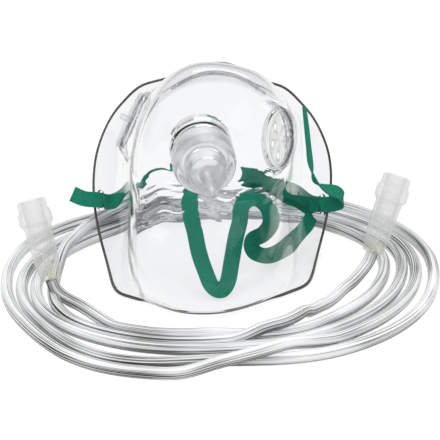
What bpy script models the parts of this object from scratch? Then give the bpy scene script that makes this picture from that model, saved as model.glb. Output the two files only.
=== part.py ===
"""Disposable oxygen face mask, lying on its rim with its supply tubing coiled round it.

The tables below are in millimetres and MM turns them into Blender's metres.
x runs across the face, y from the chin back to the nose bridge, and z is up.
"""
import math
from collections import namedtuple

import bmesh
import bpy
from mathutils import Matrix, Vector
from mathutils.bvhtree import BVHTree

MM = 0.001
GAP = 0.3 * MM

Seat = namedtuple("Seat", "point axis")

# Mask body: soft clear shell
WALL = 1.4 * MM
SKIN_LEVEL = 2
PITCH = math.radians(31.0)          # nose end raised while the chin and cheeks rest
SKEW = 0.10                         # the limp rim rests with its right side further back
CHAMBER_TWIST = math.radians(14.0)  # the nose chamber turns on the rim
CHAMBER_ROLL = math.radians(2.0)
TWIST_CENTRE = 82.0 * MM
TWIST_FROM = -8.0 * MM
TWIST_TO = 40.0 * MM

# Half sections from the chin to the nose bridge, in the plane of the face:
# u up the face, w out from it, and x the half widths of rim, crease, wall and crown edge
Station = namedtuple("Station", "rim_x rim_u rim_w crease_x wall_x edge_x crown_u crown_w")
STATIONS = (
    Station(43.5, 13.5, -8.5, 35.0, 25.0, 12.0, 0.0, 0.0),
    Station(45.0, 27.0, -17.0, 37.0, 31.0, 19.0, -3.0, 9.0),
    Station(46.5, 40.0, -24.0, 37.0, 34.0, 25.0, 5.0, 24.0),
    Station(49.0, 54.0, -31.0, 37.5, 35.0, 28.0, 22.0, 34.0),
    Station(52.0, 68.0, -35.0, 38.0, 35.5, 28.0, 44.0, 31.0),
    Station(54.5, 80.0, -34.0, 39.0, 36.5, 29.0, 48.0, 39.0),
    Station(56.0, 92.0, -28.0, 40.0, 37.0, 28.0, 58.0, 56.0),
    Station(55.0, 104.0, -22.0, 40.0, 35.5, 24.0, 84.0, 59.0),
    Station(51.5, 113.0, -17.0, 38.5, 31.0, 18.0, 106.0, 47.0),
    Station(47.0, 122.0, -14.0, 34.0, 25.0, 14.0, 117.0, 21.0),
    Station(41.0, 129.0, -12.0, 29.0, 19.0, 10.0, 123.0, 8.0),
    Station(34.0, 136.0, -9.0, 24.0, 15.0, 7.0, 138.0, 5.0),
)
# How far up a section each column of the cage sits, from the rim to the crown
COLUMN_RISE = (0.0, 0.16, 0.55, 0.93)

# Front port and the stepped connector pressed into it
PORT_AT = (-5.0, 22.0, 68.2)
PORT_AXIS = (0.09, -1.0, -0.03)
PORT_OUTER = 27.5 * MM
PORT_BORE = 24.1 * MM
PORT_LENGTH = 7.4 * MM
PORT_ROOT = 6.0 * MM
PORT_BLEND = 5.0 * MM
SPIGOT_LENGTH = 8.0 * MM
HOOD_LENGTH = 12.5 * MM
BARREL_DIAMETER = 18.0 * MM
BARREL_LENGTH = 9.5 * MM
CONNECTOR_WALL = 1.6 * MM
NIPPLE_DIAMETER = 5.5 * MM
NIPPLE_LENGTH = 23.0 * MM
NIPPLE_BORE = 2.6 * MM
NIPPLE_FLARE = 1.6 * MM             # how far its foot spreads over the cap
BARB_LENGTH = 5.0 * MM
BARB_RISE = 0.4 * MM
CONNECTOR_ROUNDING = 2.4 * MM
CONNECTOR_LEAD = 0.5 * MM           # chamfer of its small edges

# Breathing vents, one in each side of the nose chamber
VENT_AT = ((31.0, 38.0, 67.5), (-36.0, 75.0, 62.0))
VENT_AXIS = ((0.87, -0.47, 0.12), (-0.90, 0.05, 0.42))
VENT_DIAMETER = 27.0 * MM
VENT_BOSS = 2.0 * MM                # how far the wall swells out under each vent
VENT_BLEND = 4.0 * MM
VENT_ROOT = 0.6 * MM                # how far each vent's ring stands inside the wall
VENT_RISE = 1.8 * MM
VENT_RING = 1.5 * MM
VENT_FACE = 1.2 * MM
VENT_SINK = 0.8 * MM
VENT_HOLES = 6
VENT_HOLE = 4.0 * MM
VENT_HOLE_INSET = 4.4 * MM          # from the ring's inside to the middle of each hole
VENT_PIN = 2.6 * MM
VENT_PIN_LENGTH = 4.5 * MM

# Strap slots through the flange
SLOT_AT = ((50.5, 89.0, 16.0), (-51.0, 84.0, 20.0))
SLOT_LENGTH = 10.0 * MM
SLOT_WIDTH = 3.4 * MM
SLOT_ROUNDING = 0.45                # corner radius as a share of the slot's width

# Soft metal nose clip held by two moulded pegs
CLIP_SPREAD = 56.0 * MM             # across the bridge, before the strip is bent over it
CLIP_WIDTH = 5.0 * MM
CLIP_THICKNESS = 0.8 * MM
CLIP_U = 132.0 * MM
CLIP_W = 8.0 * MM
CLIP_LIFT = 0.9 * MM                # the flat strip bridges the hollow of the flange
CLIP_DROOP = 0.2                    # its ends curve down over the bridge
CLIP_STEPS = 18
CLIP_END = 5.0 * MM
PEG_DIAMETER = 2.2 * MM
PEG_HEAD = 3.8 * MM
PEG_HEAD_HEIGHT = 0.8 * MM

# Elastic strap: centre line and the direction of its width
STRAP_WIDTH = 7.2 * MM
STRAP_THICKNESS = 0.9 * MM
STRAP_ROUTE = (
    ((-67, 78, 25), (0.2, 0.5, 0.85)),
    ((-60, 77, 23), (0.0, 0.55, 0.83)),
    ((-52.5, 82.4, 21), (0.0, 0.55, 0.83)),
    ((-47, 87.5, 18), (0.0, 0.62, 0.78)),
    ((-42, 89, 20), (0.0, 0.8, 0.6)),
    ((-36, 87, 26), (0.0, 0.95, 0.3)),
    ((-28, 83, 35), (0.0, 0.95, -0.3)),
    ((-16, 73, 41), (0.3, 0.9, -0.3)),
    ((-10, 62, 40), (0.9, 0.4, 0.0)),
    ((-10, 52, 35), (1.0, 0.0, 0.0)),
    ((-10, 46, 29), (1.0, 0.0, 0.0)),
    ((-8, 41, 22), (1.0, 0.0, 0.0)),
    ((-6, 35, 14), (1.0, 0.0, 0.0)),
    ((-3, 27, 8), (1.0, 0.2, 0.0)),
    ((0, 20, 5), (0.8, 0.5, 0.3)),
    ((5, 17, 4), (0.0, 0.69, 0.66)),
    ((9, 22, 6), (-0.9, 0.3, 0.3)),
    ((10, 28, 13), (-1.0, 0.0, 0.0)),
    ((11, 33, 22), (-1.0, 0.0, 0.0)),
    ((12, 38, 28), (-1.0, 0.0, 0.0)),
    ((13, 43, 33), (-0.7, 0.5, 0.5)),
    ((18, 48, 35), (0.0, 0.69, 0.66)),
    ((24, 49, 31), (0.8, 0.4, 0.4)),
    ((26, 47, 24), (1.0, 0.0, 0.0)),
    ((23, 48, 18), (0.6, -0.5, -0.5)),
    ((18, 50, 14), (0.6, -0.5, -0.5)),
    ((19, 49, 9), (1.0, 0.2, 0.2)),
    ((25, 49, 7), (0.2, 0.7, 0.68)),
    ((32, 57, 7), (-0.5, 0.6, 0.6)),
    ((38, 70, 8), (-0.6, 0.5, 0.6)),
    ((44, 82, 10), (-0.4, 0.5, 0.7)),
    ((45, 87, 14), (0.3, 0.4, 0.85)),
    ((38, 87, 19), (0.2, 0.3, 0.9)),
    ((27, 82, 28), (0.1, 0.3, 0.95)),
    ((17, 78, 32), (0.0, 0.3, 0.95)),
    ((14, 76, 35), (0.0, 0.1, 1.0)),
    ((17, 73, 37), (0.0, -0.2, 0.95)),
    ((28, 78, 31), (-0.1, -0.1, 1.0)),
    ((39, 84, 23), (-0.1, 0.2, 0.95)),
    ((46, 91, 16), (0.0, 0.55, 0.83)),
    ((51, 88.5, 16.3), (0.0, 0.55, 0.83)),
    ((56.5, 85, 18), (0.0, 0.55, 0.83)),
    ((60, 82, 21), (0.0, 0.59, 0.81)),
    ((58, 81, 25), (-0.2, 0.7, 0.7)),
    ((52, 78, 28), (-0.4, 0.8, 0.4)),
    ((47, 78, 32), (-0.3, 0.93, -0.2)),
    ((45, 81, 39), (0.0, 0.95, -0.3)),
    ((44, 84, 47), (0.0, 0.93, -0.36)),
    ((43, 87, 56), (0.0, 0.92, -0.38)),
    ((42, 90, 64), (0.0, 0.92, -0.38)),
)
STRAP_STEPS = 2

# Supply tubing: the coil's outline, and the two loose ends
TUBE_DIAMETER = 5.5 * MM
COIL_CENTRE = (3.0, 27.0)
COIL_HEIGHT = 11.5 * MM
# How near to its centre and how far from it the turns lie, in sixteenths of a turn from the front
COIL_REACH = (
    (48.8, 84.3), (50.7, 87.0), (54.3, 92.3), (60.7, 94.5), (67.3, 96.8), (75.3, 104.0),
    (83.3, 109.3), (86.0, 108.0), (82.8, 104.8), (76.5, 102.5), (72.3, 100.3), (72.0, 98.8),
    (73.3, 97.8), (73.0, 99.5), (72.3, 101.3), (58.5, 94.5),
)
COIL_STEPS = 4
LEFT_LEAD = (
    (-67.0, 12.0, 11.0), (-65.4, 9.6, 5.8), (-62.8, 6.0, 3.2), (-58.0, 0.0, 2.8),
    (-52.0, -7.5, 2.8), (-45.5, -15.2, 2.8), (-38.0, -22.5, 2.8),
)
RIGHT_LEAD = (
    (70.0, 33.0, 12.0), (68.0, 31.0, 6.4), (65.0, 27.5, 3.3), (61.5, 22.5, 2.8), (57.2, 15.5, 2.8),
    (52.3, 7.5, 2.8), (46.5, -1.0, 2.8), (42.5, -5.8, 2.8),
)
LEAD_STEPS = 3
LEAD_SIDES = 10

# Flared connector on each end of the tubing
CUP_LENGTH = 36.0 * MM
CUP_BODY = 12.0 * MM
CUP_TAIL = 8.6 * MM
CUP_TAIL_LENGTH = 9.0 * MM
CUP_COLLAR = 14.6 * MM
CUP_COLLAR_WIDTH = 6.0 * MM
CUP_LIP = 5.0 * MM                  # the plain end past the collar
CUP_EDGE = 0.5 * MM
CUP_SOCKET = 9.4 * MM
CUP_SOCKET_DEPTH = 23.0 * MM
CUP_BORE = 2.8 * MM
LEFT_CUP_AXIS = (-9.0, 14.0, 31.0)
RIGHT_CUP_AXIS = (10.0, 8.0, 30.0)

# Sides of the round pieces
ROUND = 28
CUP_SIDES = 24
FEW_SIDES = 12
SHARP = math.radians(40.0)
TURNED_SHARP = math.radians(30.0)


def clear_scene():
    """Remove the objects of the open scene."""
    for old in list(bpy.data.objects):
        bpy.data.objects.remove(old, do_unlink=True)


def vector(values):
    """A point or direction given in millimetres."""
    return Vector(values) * MM


def finish(name, colour, roughness, metallic=0.0, alpha=1.0):
    """One Principled material for one sub-part."""
    made = bpy.data.materials.new(name)
    made.use_nodes = True
    shader = made.node_tree.nodes["Principled BSDF"]
    shader.inputs["Base Color"].default_value = (*colour, 1.0)
    shader.inputs["Roughness"].default_value = roughness
    shader.inputs["Metallic"].default_value = metallic
    shader.inputs["Alpha"].default_value = alpha
    made.diffuse_color = (*colour, alpha)
    return made


def add_object(name, mesh, material, parent):
    """Link a mesh as one named sub-part."""
    made = bpy.data.objects.new(name, mesh)
    bpy.context.collection.objects.link(made)
    made.data.materials.append(material)
    made.parent = parent
    return made


def mesh_from(bm, name, sharp=SHARP):
    """Turn a bmesh into a smooth shaded mesh with its normals out."""
    bmesh.ops.recalc_face_normals(bm, faces=bm.faces)
    mesh = bpy.data.meshes.new(name)
    bm.to_mesh(mesh)
    bm.free()
    mesh.shade_smooth()
    mesh.set_sharp_from_angle(angle=sharp)
    return mesh


def frame_along(point, axis, up=Vector((0.0, 0.0, 1.0))):
    """Matrix that carries local +Z to an axis through a point."""
    z = Vector(axis).normalized()
    x = up.cross(z).normalized()
    y = z.cross(x)
    return Matrix.Translation(point) @ Matrix((x, y, z)).transposed().to_4x4()


def turned(profile, place, segments=ROUND):
    """Turn a closed profile of (radius, height) points, which may have one edge on the axis."""
    bm = bmesh.new()
    points = [bm.verts.new((radius, 0.0, height)) for radius, height in profile]
    edges = [bm.edges.new(pair) for pair in zip(points, points[1:] + points[:1])
             if pair[0].co.x or pair[1].co.x]
    bmesh.ops.spin(bm, geom=points + edges, axis=(0, 0, 1), cent=(0, 0, 0), angle=math.tau,
                   steps=segments, use_merge=True)
    bmesh.ops.remove_doubles(bm, verts=bm.verts, dist=0.001 * MM)
    bmesh.ops.transform(bm, matrix=place, verts=bm.verts)
    return bm


def rod(diameter, low, high, place, segments=ROUND, bm=None):
    """A closed cylinder between two heights on an axis, alone or added to a bmesh."""
    bm = bm or bmesh.new()
    made = bmesh.ops.create_cone(bm, cap_ends=True, segments=segments, radius1=diameter / 2,
                                 radius2=diameter / 2, depth=high - low)
    middle = Matrix.Translation((0.0, 0.0, (low + high) / 2))
    bmesh.ops.transform(bm, matrix=place @ middle, verts=made["verts"])
    return bm


def boolean(target, bm, operation, name):
    """Join a bmesh to an object or cut it away, and keep the result as its mesh."""
    tool = bpy.data.objects.new(name, mesh_from(bm, name))
    bpy.context.collection.objects.link(tool)
    tool.hide_render = True
    tool.display_type = "WIRE"
    modifier = target.modifiers.new(name, "BOOLEAN")
    modifier.operation = operation
    modifier.solver = "EXACT"
    modifier.object = tool
    apply_modifiers(target)
    bpy.data.objects.remove(tool, do_unlink=True)


def apply_modifiers(target):
    """Replace an object's mesh by what its modifiers make of it."""
    graph = bpy.context.evaluated_depsgraph_get()
    graph.update()
    made = bpy.data.meshes.new_from_object(target.evaluated_get(graph))
    target.modifiers.clear()
    target.data = made


def settle(x, u, w):
    """Carry a point of the moulded mask to where the limp mask lies."""
    share = min(max((w - TWIST_FROM) / (TWIST_TO - TWIST_FROM), 0.0), 1.0)
    twist = CHAMBER_TWIST * share
    up = u - TWIST_CENTRE
    turned_x = x * math.cos(twist) + up * math.sin(twist)
    u = TWIST_CENTRE - x * math.sin(twist) + up * math.cos(twist)
    roll = CHAMBER_ROLL * share
    out = w - TWIST_FROM
    x = turned_x * math.cos(roll) + out * math.sin(roll)
    w = TWIST_FROM - turned_x * math.sin(roll) + out * math.cos(roll)
    y = u * math.cos(PITCH) - w * math.sin(PITCH) + SKEW * x
    z = u * math.sin(PITCH) + w * math.cos(PITCH)
    return Vector((x, y, z))


def section(station):
    """One row of the cage, from the left rim over the crown to the right rim."""
    rim_x, rim_u, rim_w, crease_x, wall_x, edge_x, crown_u, crown_w = (v * MM for v in station)
    half = [(x, rim_u + (crown_u - rim_u) * h, rim_w + (crown_w - rim_w) * h)
            for x, h in zip((rim_x, crease_x, wall_x, edge_x), COLUMN_RISE)]
    left = [(-x, u, w) for x, u, w in half]
    return [settle(*p) for p in left + [(0.0, crown_u, crown_w)] + half[::-1]]


def press_flat(mesh, seat, radius, blend):
    """Flatten the skin round a seat, fading out over the blend width."""
    for vertex in mesh.vertices:
        away = vertex.co - seat.point
        height = away.dot(seat.axis)
        spread = (away - seat.axis * height).length
        if spread < radius + blend and abs(height) < radius:
            share = min(1.0, (radius + blend - spread) / blend)
            vertex.co -= seat.axis * height * share * share * (3.0 - 2.0 * share)


def nearest(tree, point):
    """The skin's nearest point, with the normal that faces out."""
    place, normal, _, _ = tree.find_nearest(point)
    return Seat(place, normal)


def make_skin():
    """Subdivide the cage of sections into the outer surface of the mask body."""
    bm = bmesh.new()
    rows = [[bm.verts.new(p) for p in section(s)] for s in STATIONS]
    for low, high in zip(rows, rows[1:]):
        for i in range(len(low) - 1):
            bm.faces.new((low[i], low[i + 1], high[i + 1], high[i]))
    mesh = bpy.data.meshes.new("mask_shell")
    bm.to_mesh(mesh)
    bm.free()
    skin = bpy.data.objects.new("mask_shell", mesh)
    bpy.context.collection.objects.link(skin)
    rounding = skin.modifiers.new("rounding", "SUBSURF")
    rounding.levels = SKIN_LEVEL
    rounding.render_levels = SKIN_LEVEL
    apply_modifiers(skin)
    return skin


def add_wall(skin):
    """Give the skin the wall's thickness, inwards."""
    wall = skin.modifiers.new("wall", "SOLIDIFY")
    wall.thickness = WALL
    wall.offset = -1.0


def rest_on_floor(skin):
    """Lower the skin so that its walled rim just touches the floor."""
    add_wall(skin)
    graph = bpy.context.evaluated_depsgraph_get()
    graph.update()
    walled = bpy.data.meshes.new_from_object(skin.evaluated_get(graph))
    lowest = min(v.co.z for v in walled.vertices)
    skin.modifiers.clear()
    skin.data.transform(Matrix.Translation((0.0, 0.0, -lowest)))


def port_seat(tree):
    """Where the port's axis leaves the front of the nose chamber."""
    return Seat(nearest(tree, vector(PORT_AT)).point, Vector(PORT_AXIS).normalized())


def vent_seats(tree):
    """Where each vent's disc sits in the chamber wall."""
    seats = []
    for at, axis in zip(VENT_AT, VENT_AXIS):
        axis = Vector(axis).normalized()
        seats.append(Seat(nearest(tree, vector(at)).point + axis * VENT_BOSS, axis))
    return seats


def add_vent(shell, seat):
    """Mould one vent into the wall: a raised ring, a thin drilled face and a centre pin."""
    place = frame_along(seat.point, seat.axis)
    outer, inner, pin = VENT_DIAMETER / 2, VENT_DIAMETER / 2 - VENT_RING, VENT_PIN / 2
    root = -WALL - VENT_ROOT
    face = VENT_RISE - VENT_SINK
    profile = [
        (0.0, face - VENT_FACE), (inner, face - VENT_FACE), (inner, root), (outer, root),
        (outer, VENT_RISE), (inner, VENT_RISE), (inner, face), (pin, face),
        (pin, face + VENT_PIN_LENGTH), (0.0, face + VENT_PIN_LENGTH),
    ]
    opening = rod(outer + inner, -4 * WALL, 2 * VENT_RISE, place)
    holes = bmesh.new()
    for i in range(VENT_HOLES):
        turn = Matrix.Rotation(math.tau * i / VENT_HOLES, 4, "Z")
        hole = place @ turn @ Matrix.Translation((inner - VENT_HOLE_INSET, 0.0, 0.0))
        rod(VENT_HOLE, -2 * WALL, 2 * VENT_RISE, hole, FEW_SIDES, holes)
    boolean(shell, opening, "DIFFERENCE", "vent_opening")
    boolean(shell, turned(profile, place), "UNION", "vent")
    boolean(shell, holes, "DIFFERENCE", "vent_holes")


def add_port(shell, seat):
    """Mould the front port and open it into the chamber."""
    place = frame_along(seat.point, seat.axis)
    boolean(shell, rod(PORT_OUTER, -PORT_ROOT, PORT_LENGTH, place), "UNION", "port_tube")
    boolean(shell, rod(PORT_BORE, -3 * PORT_ROOT, 2 * PORT_LENGTH, place), "DIFFERENCE", "port_bore")


def add_slot(shell, tree, at, side):
    """Punch one strap slot along the flange."""
    seat = nearest(tree, vector(at))
    rim = [settle(side * s.rim_x * MM, s.rim_u * MM, s.rim_w * MM) for s in STATIONS]
    row = min(range(1, len(rim) - 1), key=lambda i: (rim[i] - seat.point).length)
    along = rim[row + 1] - rim[row - 1]
    z = seat.axis
    x = (along - z * along.dot(z)).normalized()
    place = Matrix.Translation(seat.point) @ Matrix((x, z.cross(x), z)).transposed().to_4x4()
    bm = bmesh.new()
    bmesh.ops.create_cube(bm, size=1.0)
    size = Matrix.Diagonal((SLOT_LENGTH, SLOT_WIDTH, 6 * WALL, 1.0))
    bmesh.ops.transform(bm, matrix=place @ size, verts=bm.verts)
    through = [e for e in bm.edges if abs((e.verts[0].co - e.verts[1].co).dot(z)) > WALL]
    bmesh.ops.bevel(bm, geom=through, offset=SLOT_ROUNDING * SLOT_WIDTH, segments=3,
                    affect="EDGES", profile=0.5)
    boolean(shell, bm, "DIFFERENCE", "strap_slot")


def clip_line(tree):
    """Centre points of the nose clip on the skin, with the skin's normals."""
    line = []
    for i in range(CLIP_STEPS + 1):
        x = CLIP_SPREAD * (i / CLIP_STEPS - 0.5)
        line.append(nearest(tree, settle(x, CLIP_U, CLIP_W - abs(x) * CLIP_DROOP)))
    return line


def loft(rings, closed=False):
    """Skin a row of equal rings of points, and either close the row or fill its two ends."""
    bm = bmesh.new()
    rows = [[bm.verts.new(point) for point in ring] for ring in rings]
    pairs = list(zip(rows, rows[1:]))
    if closed:
        pairs.append((rows[-1], rows[0]))
    else:
        bm.faces.new(rows[0])
        bm.faces.new(rows[-1][::-1])
    for near, far in pairs:
        for i in range(len(near)):
            bm.faces.new((near[i - 1], near[i], far[i], far[i - 1]))
    return bm


def ribbon(points, widths, width, thickness):
    """Sweep a flat section along points, with a width direction for each of them."""
    rings = []
    for i, point in enumerate(points):
        tangent = (points[min(i + 1, len(points) - 1)] - points[max(i - 1, 0)]).normalized()
        across = widths[i] - tangent * widths[i].dot(tangent)
        across.normalize()
        normal = tangent.cross(across)
        corners = ((-1, -1), (1, -1), (1, 1), (-1, 1))
        rings.append([point + across * a * width / 2 + normal * n * thickness / 2
                      for a, n in corners])
    return loft(rings)


def smooth_path(points, steps):
    """Catmull-Rom curve through points, with a number of steps between each two."""
    path = []
    ends = [points[0] * 2 - points[1]] + list(points) + [points[-1] * 2 - points[-2]]
    for a, b, c, d in zip(ends, ends[1:], ends[2:], ends[3:]):
        for i in range(steps):
            t = i / steps
            path.append(0.5 * (2 * b + (c - a) * t + (2 * a - 5 * b + 4 * c - d) * t * t
                               + (3 * b - a - 3 * c + d) * t ** 3))
    path.append(points[-1].copy())
    return path


def make_shell(skin, tree, material, parent):
    """Give the skin its wall and mould the port, vents, slots and clip pegs on it."""
    port = port_seat(tree)
    vents = vent_seats(tree)
    press_flat(skin.data, port, PORT_OUTER / 2, PORT_BLEND)
    for seat in vents:
        press_flat(skin.data, seat, VENT_DIAMETER / 2, VENT_BLEND)
    add_wall(skin)
    apply_modifiers(skin)
    add_port(skin, port)
    for seat in vents:
        add_vent(skin, seat)
    for at, side in zip(SLOT_AT, (1, -1)):
        add_slot(skin, tree, at, side)
    for seat in clip_pegs(tree):
        place = frame_along(seat.point, seat.axis)
        top = CLIP_LIFT + CLIP_THICKNESS + GAP
        peg = rod(PEG_DIAMETER, -WALL / 2, top + PEG_HEAD_HEIGHT / 2, place, FEW_SIDES)
        head = rod(PEG_HEAD, top, top + PEG_HEAD_HEIGHT, place, FEW_SIDES)
        boolean(skin, peg, "UNION", "peg")
        boolean(skin, head, "UNION", "peg_head")
    skin.data.shade_smooth()
    skin.data.set_sharp_from_angle(angle=SHARP)
    skin.data.materials.append(material)
    skin.parent = parent


def clip_pegs(tree):
    """The skin under each end of the nose clip."""
    line = clip_line(tree)
    reach = round(CLIP_STEPS * CLIP_END / CLIP_SPREAD)
    return [line[reach], line[-1 - reach]]


def make_clip(tree, material, parent):
    """Bend the nose clip over the bridge, with a hole at each end for its peg."""
    line = clip_line(tree)
    middle = [seat.point + seat.axis * (CLIP_LIFT + CLIP_THICKNESS / 2) for seat in line]
    across = []
    for i, seat in enumerate(line):
        tangent = middle[min(i + 1, len(line) - 1)] - middle[max(i - 1, 0)]
        across.append(seat.axis.cross(tangent).normalized())
    mesh = mesh_from(ribbon(middle, across, CLIP_WIDTH, CLIP_THICKNESS), "nose_clip")
    clip = add_object("nose_clip", mesh, material, parent)
    for seat in clip_pegs(tree):
        place = frame_along(seat.point, seat.axis)
        hole = rod(PEG_DIAMETER + 2 * GAP, -WALL, 4 * CLIP_THICKNESS, place, FEW_SIDES)
        boolean(clip, hole, "DIFFERENCE", "clip_hole")
    return clip


def make_port_connector(tree, material, parent):
    """Turn the stepped connector that is pressed into the port, with its tubing nipple."""
    seat = port_seat(tree)
    spigot = PORT_BORE / 2 - GAP
    hood, barrel = PORT_OUTER / 2, BARREL_DIAMETER / 2
    nipple, bore = NIPPLE_DIAMETER / 2, NIPPLE_BORE / 2
    face = PORT_LENGTH + GAP
    mouth = face - SPIGOT_LENGTH
    shoulder = face + HOOD_LENGTH
    cap = shoulder + BARREL_LENGTH
    tip = cap + NIPPLE_LENGTH
    barb = tip - BARB_LENGTH
    wall, lead, flare = CONNECTOR_WALL, CONNECTOR_LEAD, NIPPLE_FLARE
    full, part = CONNECTOR_ROUNDING, CONNECTOR_ROUNDING * 0.3
    profile = [
        (spigot - wall, mouth), (spigot - lead, mouth), (spigot, mouth + 2 * lead), (spigot, face),
        (hood, face), (hood, shoulder - full), (hood - part, shoulder - part), (hood - full, shoulder),
        (barrel + lead, shoulder), (barrel, shoulder + 2 * lead),
        (barrel, cap - full), (barrel - part, cap - part), (barrel - full, cap),
        (nipple + flare, cap), (nipple + flare / 4, cap + flare * 0.75), (nipple, cap + flare * 2.5),
        (nipple, barb), (nipple + BARB_RISE, barb + BARB_RISE), (nipple - lead, tip), (bore, tip),
        (bore, cap - wall), (barrel - 2 * wall, cap - wall), (barrel - wall, cap - 2 * wall),
        (barrel - wall, shoulder - wall), (spigot - wall, shoulder - wall),
    ]
    place = frame_along(seat.point, seat.axis)
    mesh = mesh_from(turned(profile, place), "port_connector", TURNED_SHARP)
    return add_object("port_connector", mesh, material, parent)


def make_strap(material, parent):
    """Sweep the elastic strap along its folded route."""
    points = smooth_path([vector(p) for p, _ in STRAP_ROUTE], STRAP_STEPS)
    widths = smooth_path([Vector(w) for _, w in STRAP_ROUTE], STRAP_STEPS)
    mesh = mesh_from(ribbon(points, widths, STRAP_WIDTH, STRAP_THICKNESS), "elastic_strap")
    return add_object("elastic_strap", mesh, material, parent)


def coil_section(inner, outer):
    """Distance and height of each corner of the coil's outline: one tube high, then two."""
    low = TUBE_DIAMETER
    span = outer - inner
    return [
        (inner, 0.0), (inner, low * 0.45), (inner + low * 0.4, low * 0.9),
        (inner + span * 0.43, COIL_HEIGHT * 0.96), (inner + span * 0.78, COIL_HEIGHT),
        (outer - low * 0.3, low * 1.5), (outer, low * 0.7), (outer, 0.0),
    ]


def make_coil(material, parent):
    """The outline of the coiled turns, lofted round as one ring that clears the raised rim."""
    reach = [Vector(pair) * MM for pair in COIL_REACH]
    reach = smooth_path([reach[-1], *reach, *reach[:2]], COIL_STEPS)[COIL_STEPS:-COIL_STEPS - 1]
    centre = vector((*COIL_CENTRE, 0.0))
    rings = []
    for i, (inner, outer) in enumerate(reach):
        angle = math.tau * (i / len(reach) - 0.25)
        out = Vector((math.cos(angle), math.sin(angle), 0.0))
        rings.append([centre + out * away + Vector((0.0, 0.0, height))
                      for away, height in coil_section(inner, outer)])
    mesh = mesh_from(loft(rings, closed=True), "tubing_coil", TURNED_SHARP)
    return add_object("tubing_coil", mesh, material, parent)


def coil_meeting(coil, point, heading):
    """How far on a tube's end, heading level, comes up against the coil's inner face."""
    tree = BVHTree.FromPolygons([v.co for v in coil.data.vertices],
                                [p.vertices for p in coil.data.polygons])
    side = Vector((heading.y, -heading.x, 0.0)) * TUBE_DIAMETER / 2
    foot = Vector((point.x, point.y, TUBE_DIAMETER / 4))
    runs = [tree.ray_cast(foot + edge, heading)[3] for edge in (side, -side)]
    return min(run for run in runs if run) - GAP


def make_lead(name, route, coil, material, parent):
    """A round tube with filled caps along one loose end of the tubing, up to the coil."""
    points = smooth_path([vector(p) for p in route], LEAD_STEPS)
    points[0] += (points[1] - points[0]).normalized() * GAP
    heading = points[-1] - points[-2]
    heading.z = 0.0
    heading.normalize()
    points[-1] += heading * coil_meeting(coil, points[-1], heading)
    curve = bpy.data.curves.new(name, "CURVE")
    curve.dimensions = "3D"
    curve.bevel_depth = TUBE_DIAMETER / 2
    curve.bevel_resolution = LEAD_SIDES // 4
    curve.use_fill_caps = True
    spline = curve.splines.new("POLY")
    spline.points.add(len(points) - 1)
    for knot, point in zip(spline.points, points):
        knot.co = (*point, 1.0)
    made = bpy.data.objects.new(name, curve)
    bpy.context.collection.objects.link(made)
    curve.materials.append(material)
    made.parent = parent
    return made


def make_cup(name, start, axis, material, parent):
    """Turn the flared connector that grips one end of the tubing."""
    bore, tail, body = CUP_BORE / 2, CUP_TAIL / 2, CUP_BODY / 2
    collar, socket = CUP_COLLAR / 2, CUP_SOCKET / 2
    floor = CUP_LENGTH - CUP_SOCKET_DEPTH
    top = CUP_LENGTH - CUP_LIP
    low = top - CUP_COLLAR_WIDTH
    edge = CUP_EDGE
    profile = [
        (bore, 0.0), (tail - edge, 0.0), (tail, edge), (tail + edge, CUP_TAIL_LENGTH / 2),
        (body - edge, CUP_TAIL_LENGTH), (body, low - 2 * edge), (collar - edge, low),
        (collar, low + 2 * edge), (collar, top - 2 * edge), (collar - edge, top),
        (body + edge, top + edge), (body + edge, CUP_LENGTH - edge), (body, CUP_LENGTH),
        (socket + edge, CUP_LENGTH), (socket, CUP_LENGTH - edge), (socket, floor + 3 * edge),
        (bore, floor),
    ]
    place = frame_along(vector(start), axis)
    mesh = mesh_from(turned(profile, place, CUP_SIDES), name, TURNED_SHARP)
    return add_object(name, mesh, material, parent)


def centre_on_mask(root, pieces):
    """Put the origin under the middle of the mask, at its lowest point."""
    graph = bpy.context.evaluated_depsgraph_get()
    graph.update()
    corners = [piece.matrix_world @ Vector(corner)
               for piece in pieces for corner in piece.evaluated_get(graph).bound_box]
    middle = [(min(c[i] for c in corners) + max(c[i] for c in corners)) / 2 for i in range(2)]
    root.location = (-middle[0], -middle[1], 0.0)


def main():
    """Build every sub-part of the mask."""
    clear_scene()
    root = bpy.data.objects.new("resting_place", None)
    bpy.context.collection.objects.link(root)
    clear_pvc = finish("clear_pvc", (0.90, 0.92, 0.93), 0.08, alpha=0.35)
    smoke_clear = finish("grey_clear_plastic", (0.55, 0.58, 0.60), 0.12, alpha=0.6)
    aluminium = finish("aluminium", (0.75, 0.76, 0.78), 0.35, metallic=1.0)
    elastic = finish("green_elastic", (0.0, 0.22, 0.13), 0.8)
    tubing = finish("clear_tubing", (0.80, 0.83, 0.85), 0.1, alpha=0.5)
    frosted = finish("frosted_vinyl", (0.78, 0.79, 0.74), 0.4, alpha=0.8)

    skin = make_skin()
    rest_on_floor(skin)
    graph = bpy.context.evaluated_depsgraph_get()
    graph.update()
    tree = BVHTree.FromObject(skin, graph)
    clip = make_clip(tree, aluminium, root)
    connector = make_port_connector(tree, smoke_clear, root)
    make_shell(skin, tree, clear_pvc, root)
    strap = make_strap(elastic, root)
    coil = make_coil(tubing, root)
    make_lead("tubing_lead_left", LEFT_LEAD, coil, tubing, root)
    make_lead("tubing_lead_right", RIGHT_LEAD, coil, tubing, root)
    make_cup("tubing_connector_left", LEFT_LEAD[0], LEFT_CUP_AXIS, frosted, root)
    make_cup("tubing_connector_right", RIGHT_LEAD[0], RIGHT_CUP_AXIS, frosted, root)
    centre_on_mask(root, (skin, clip, connector, strap))


main()
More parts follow.
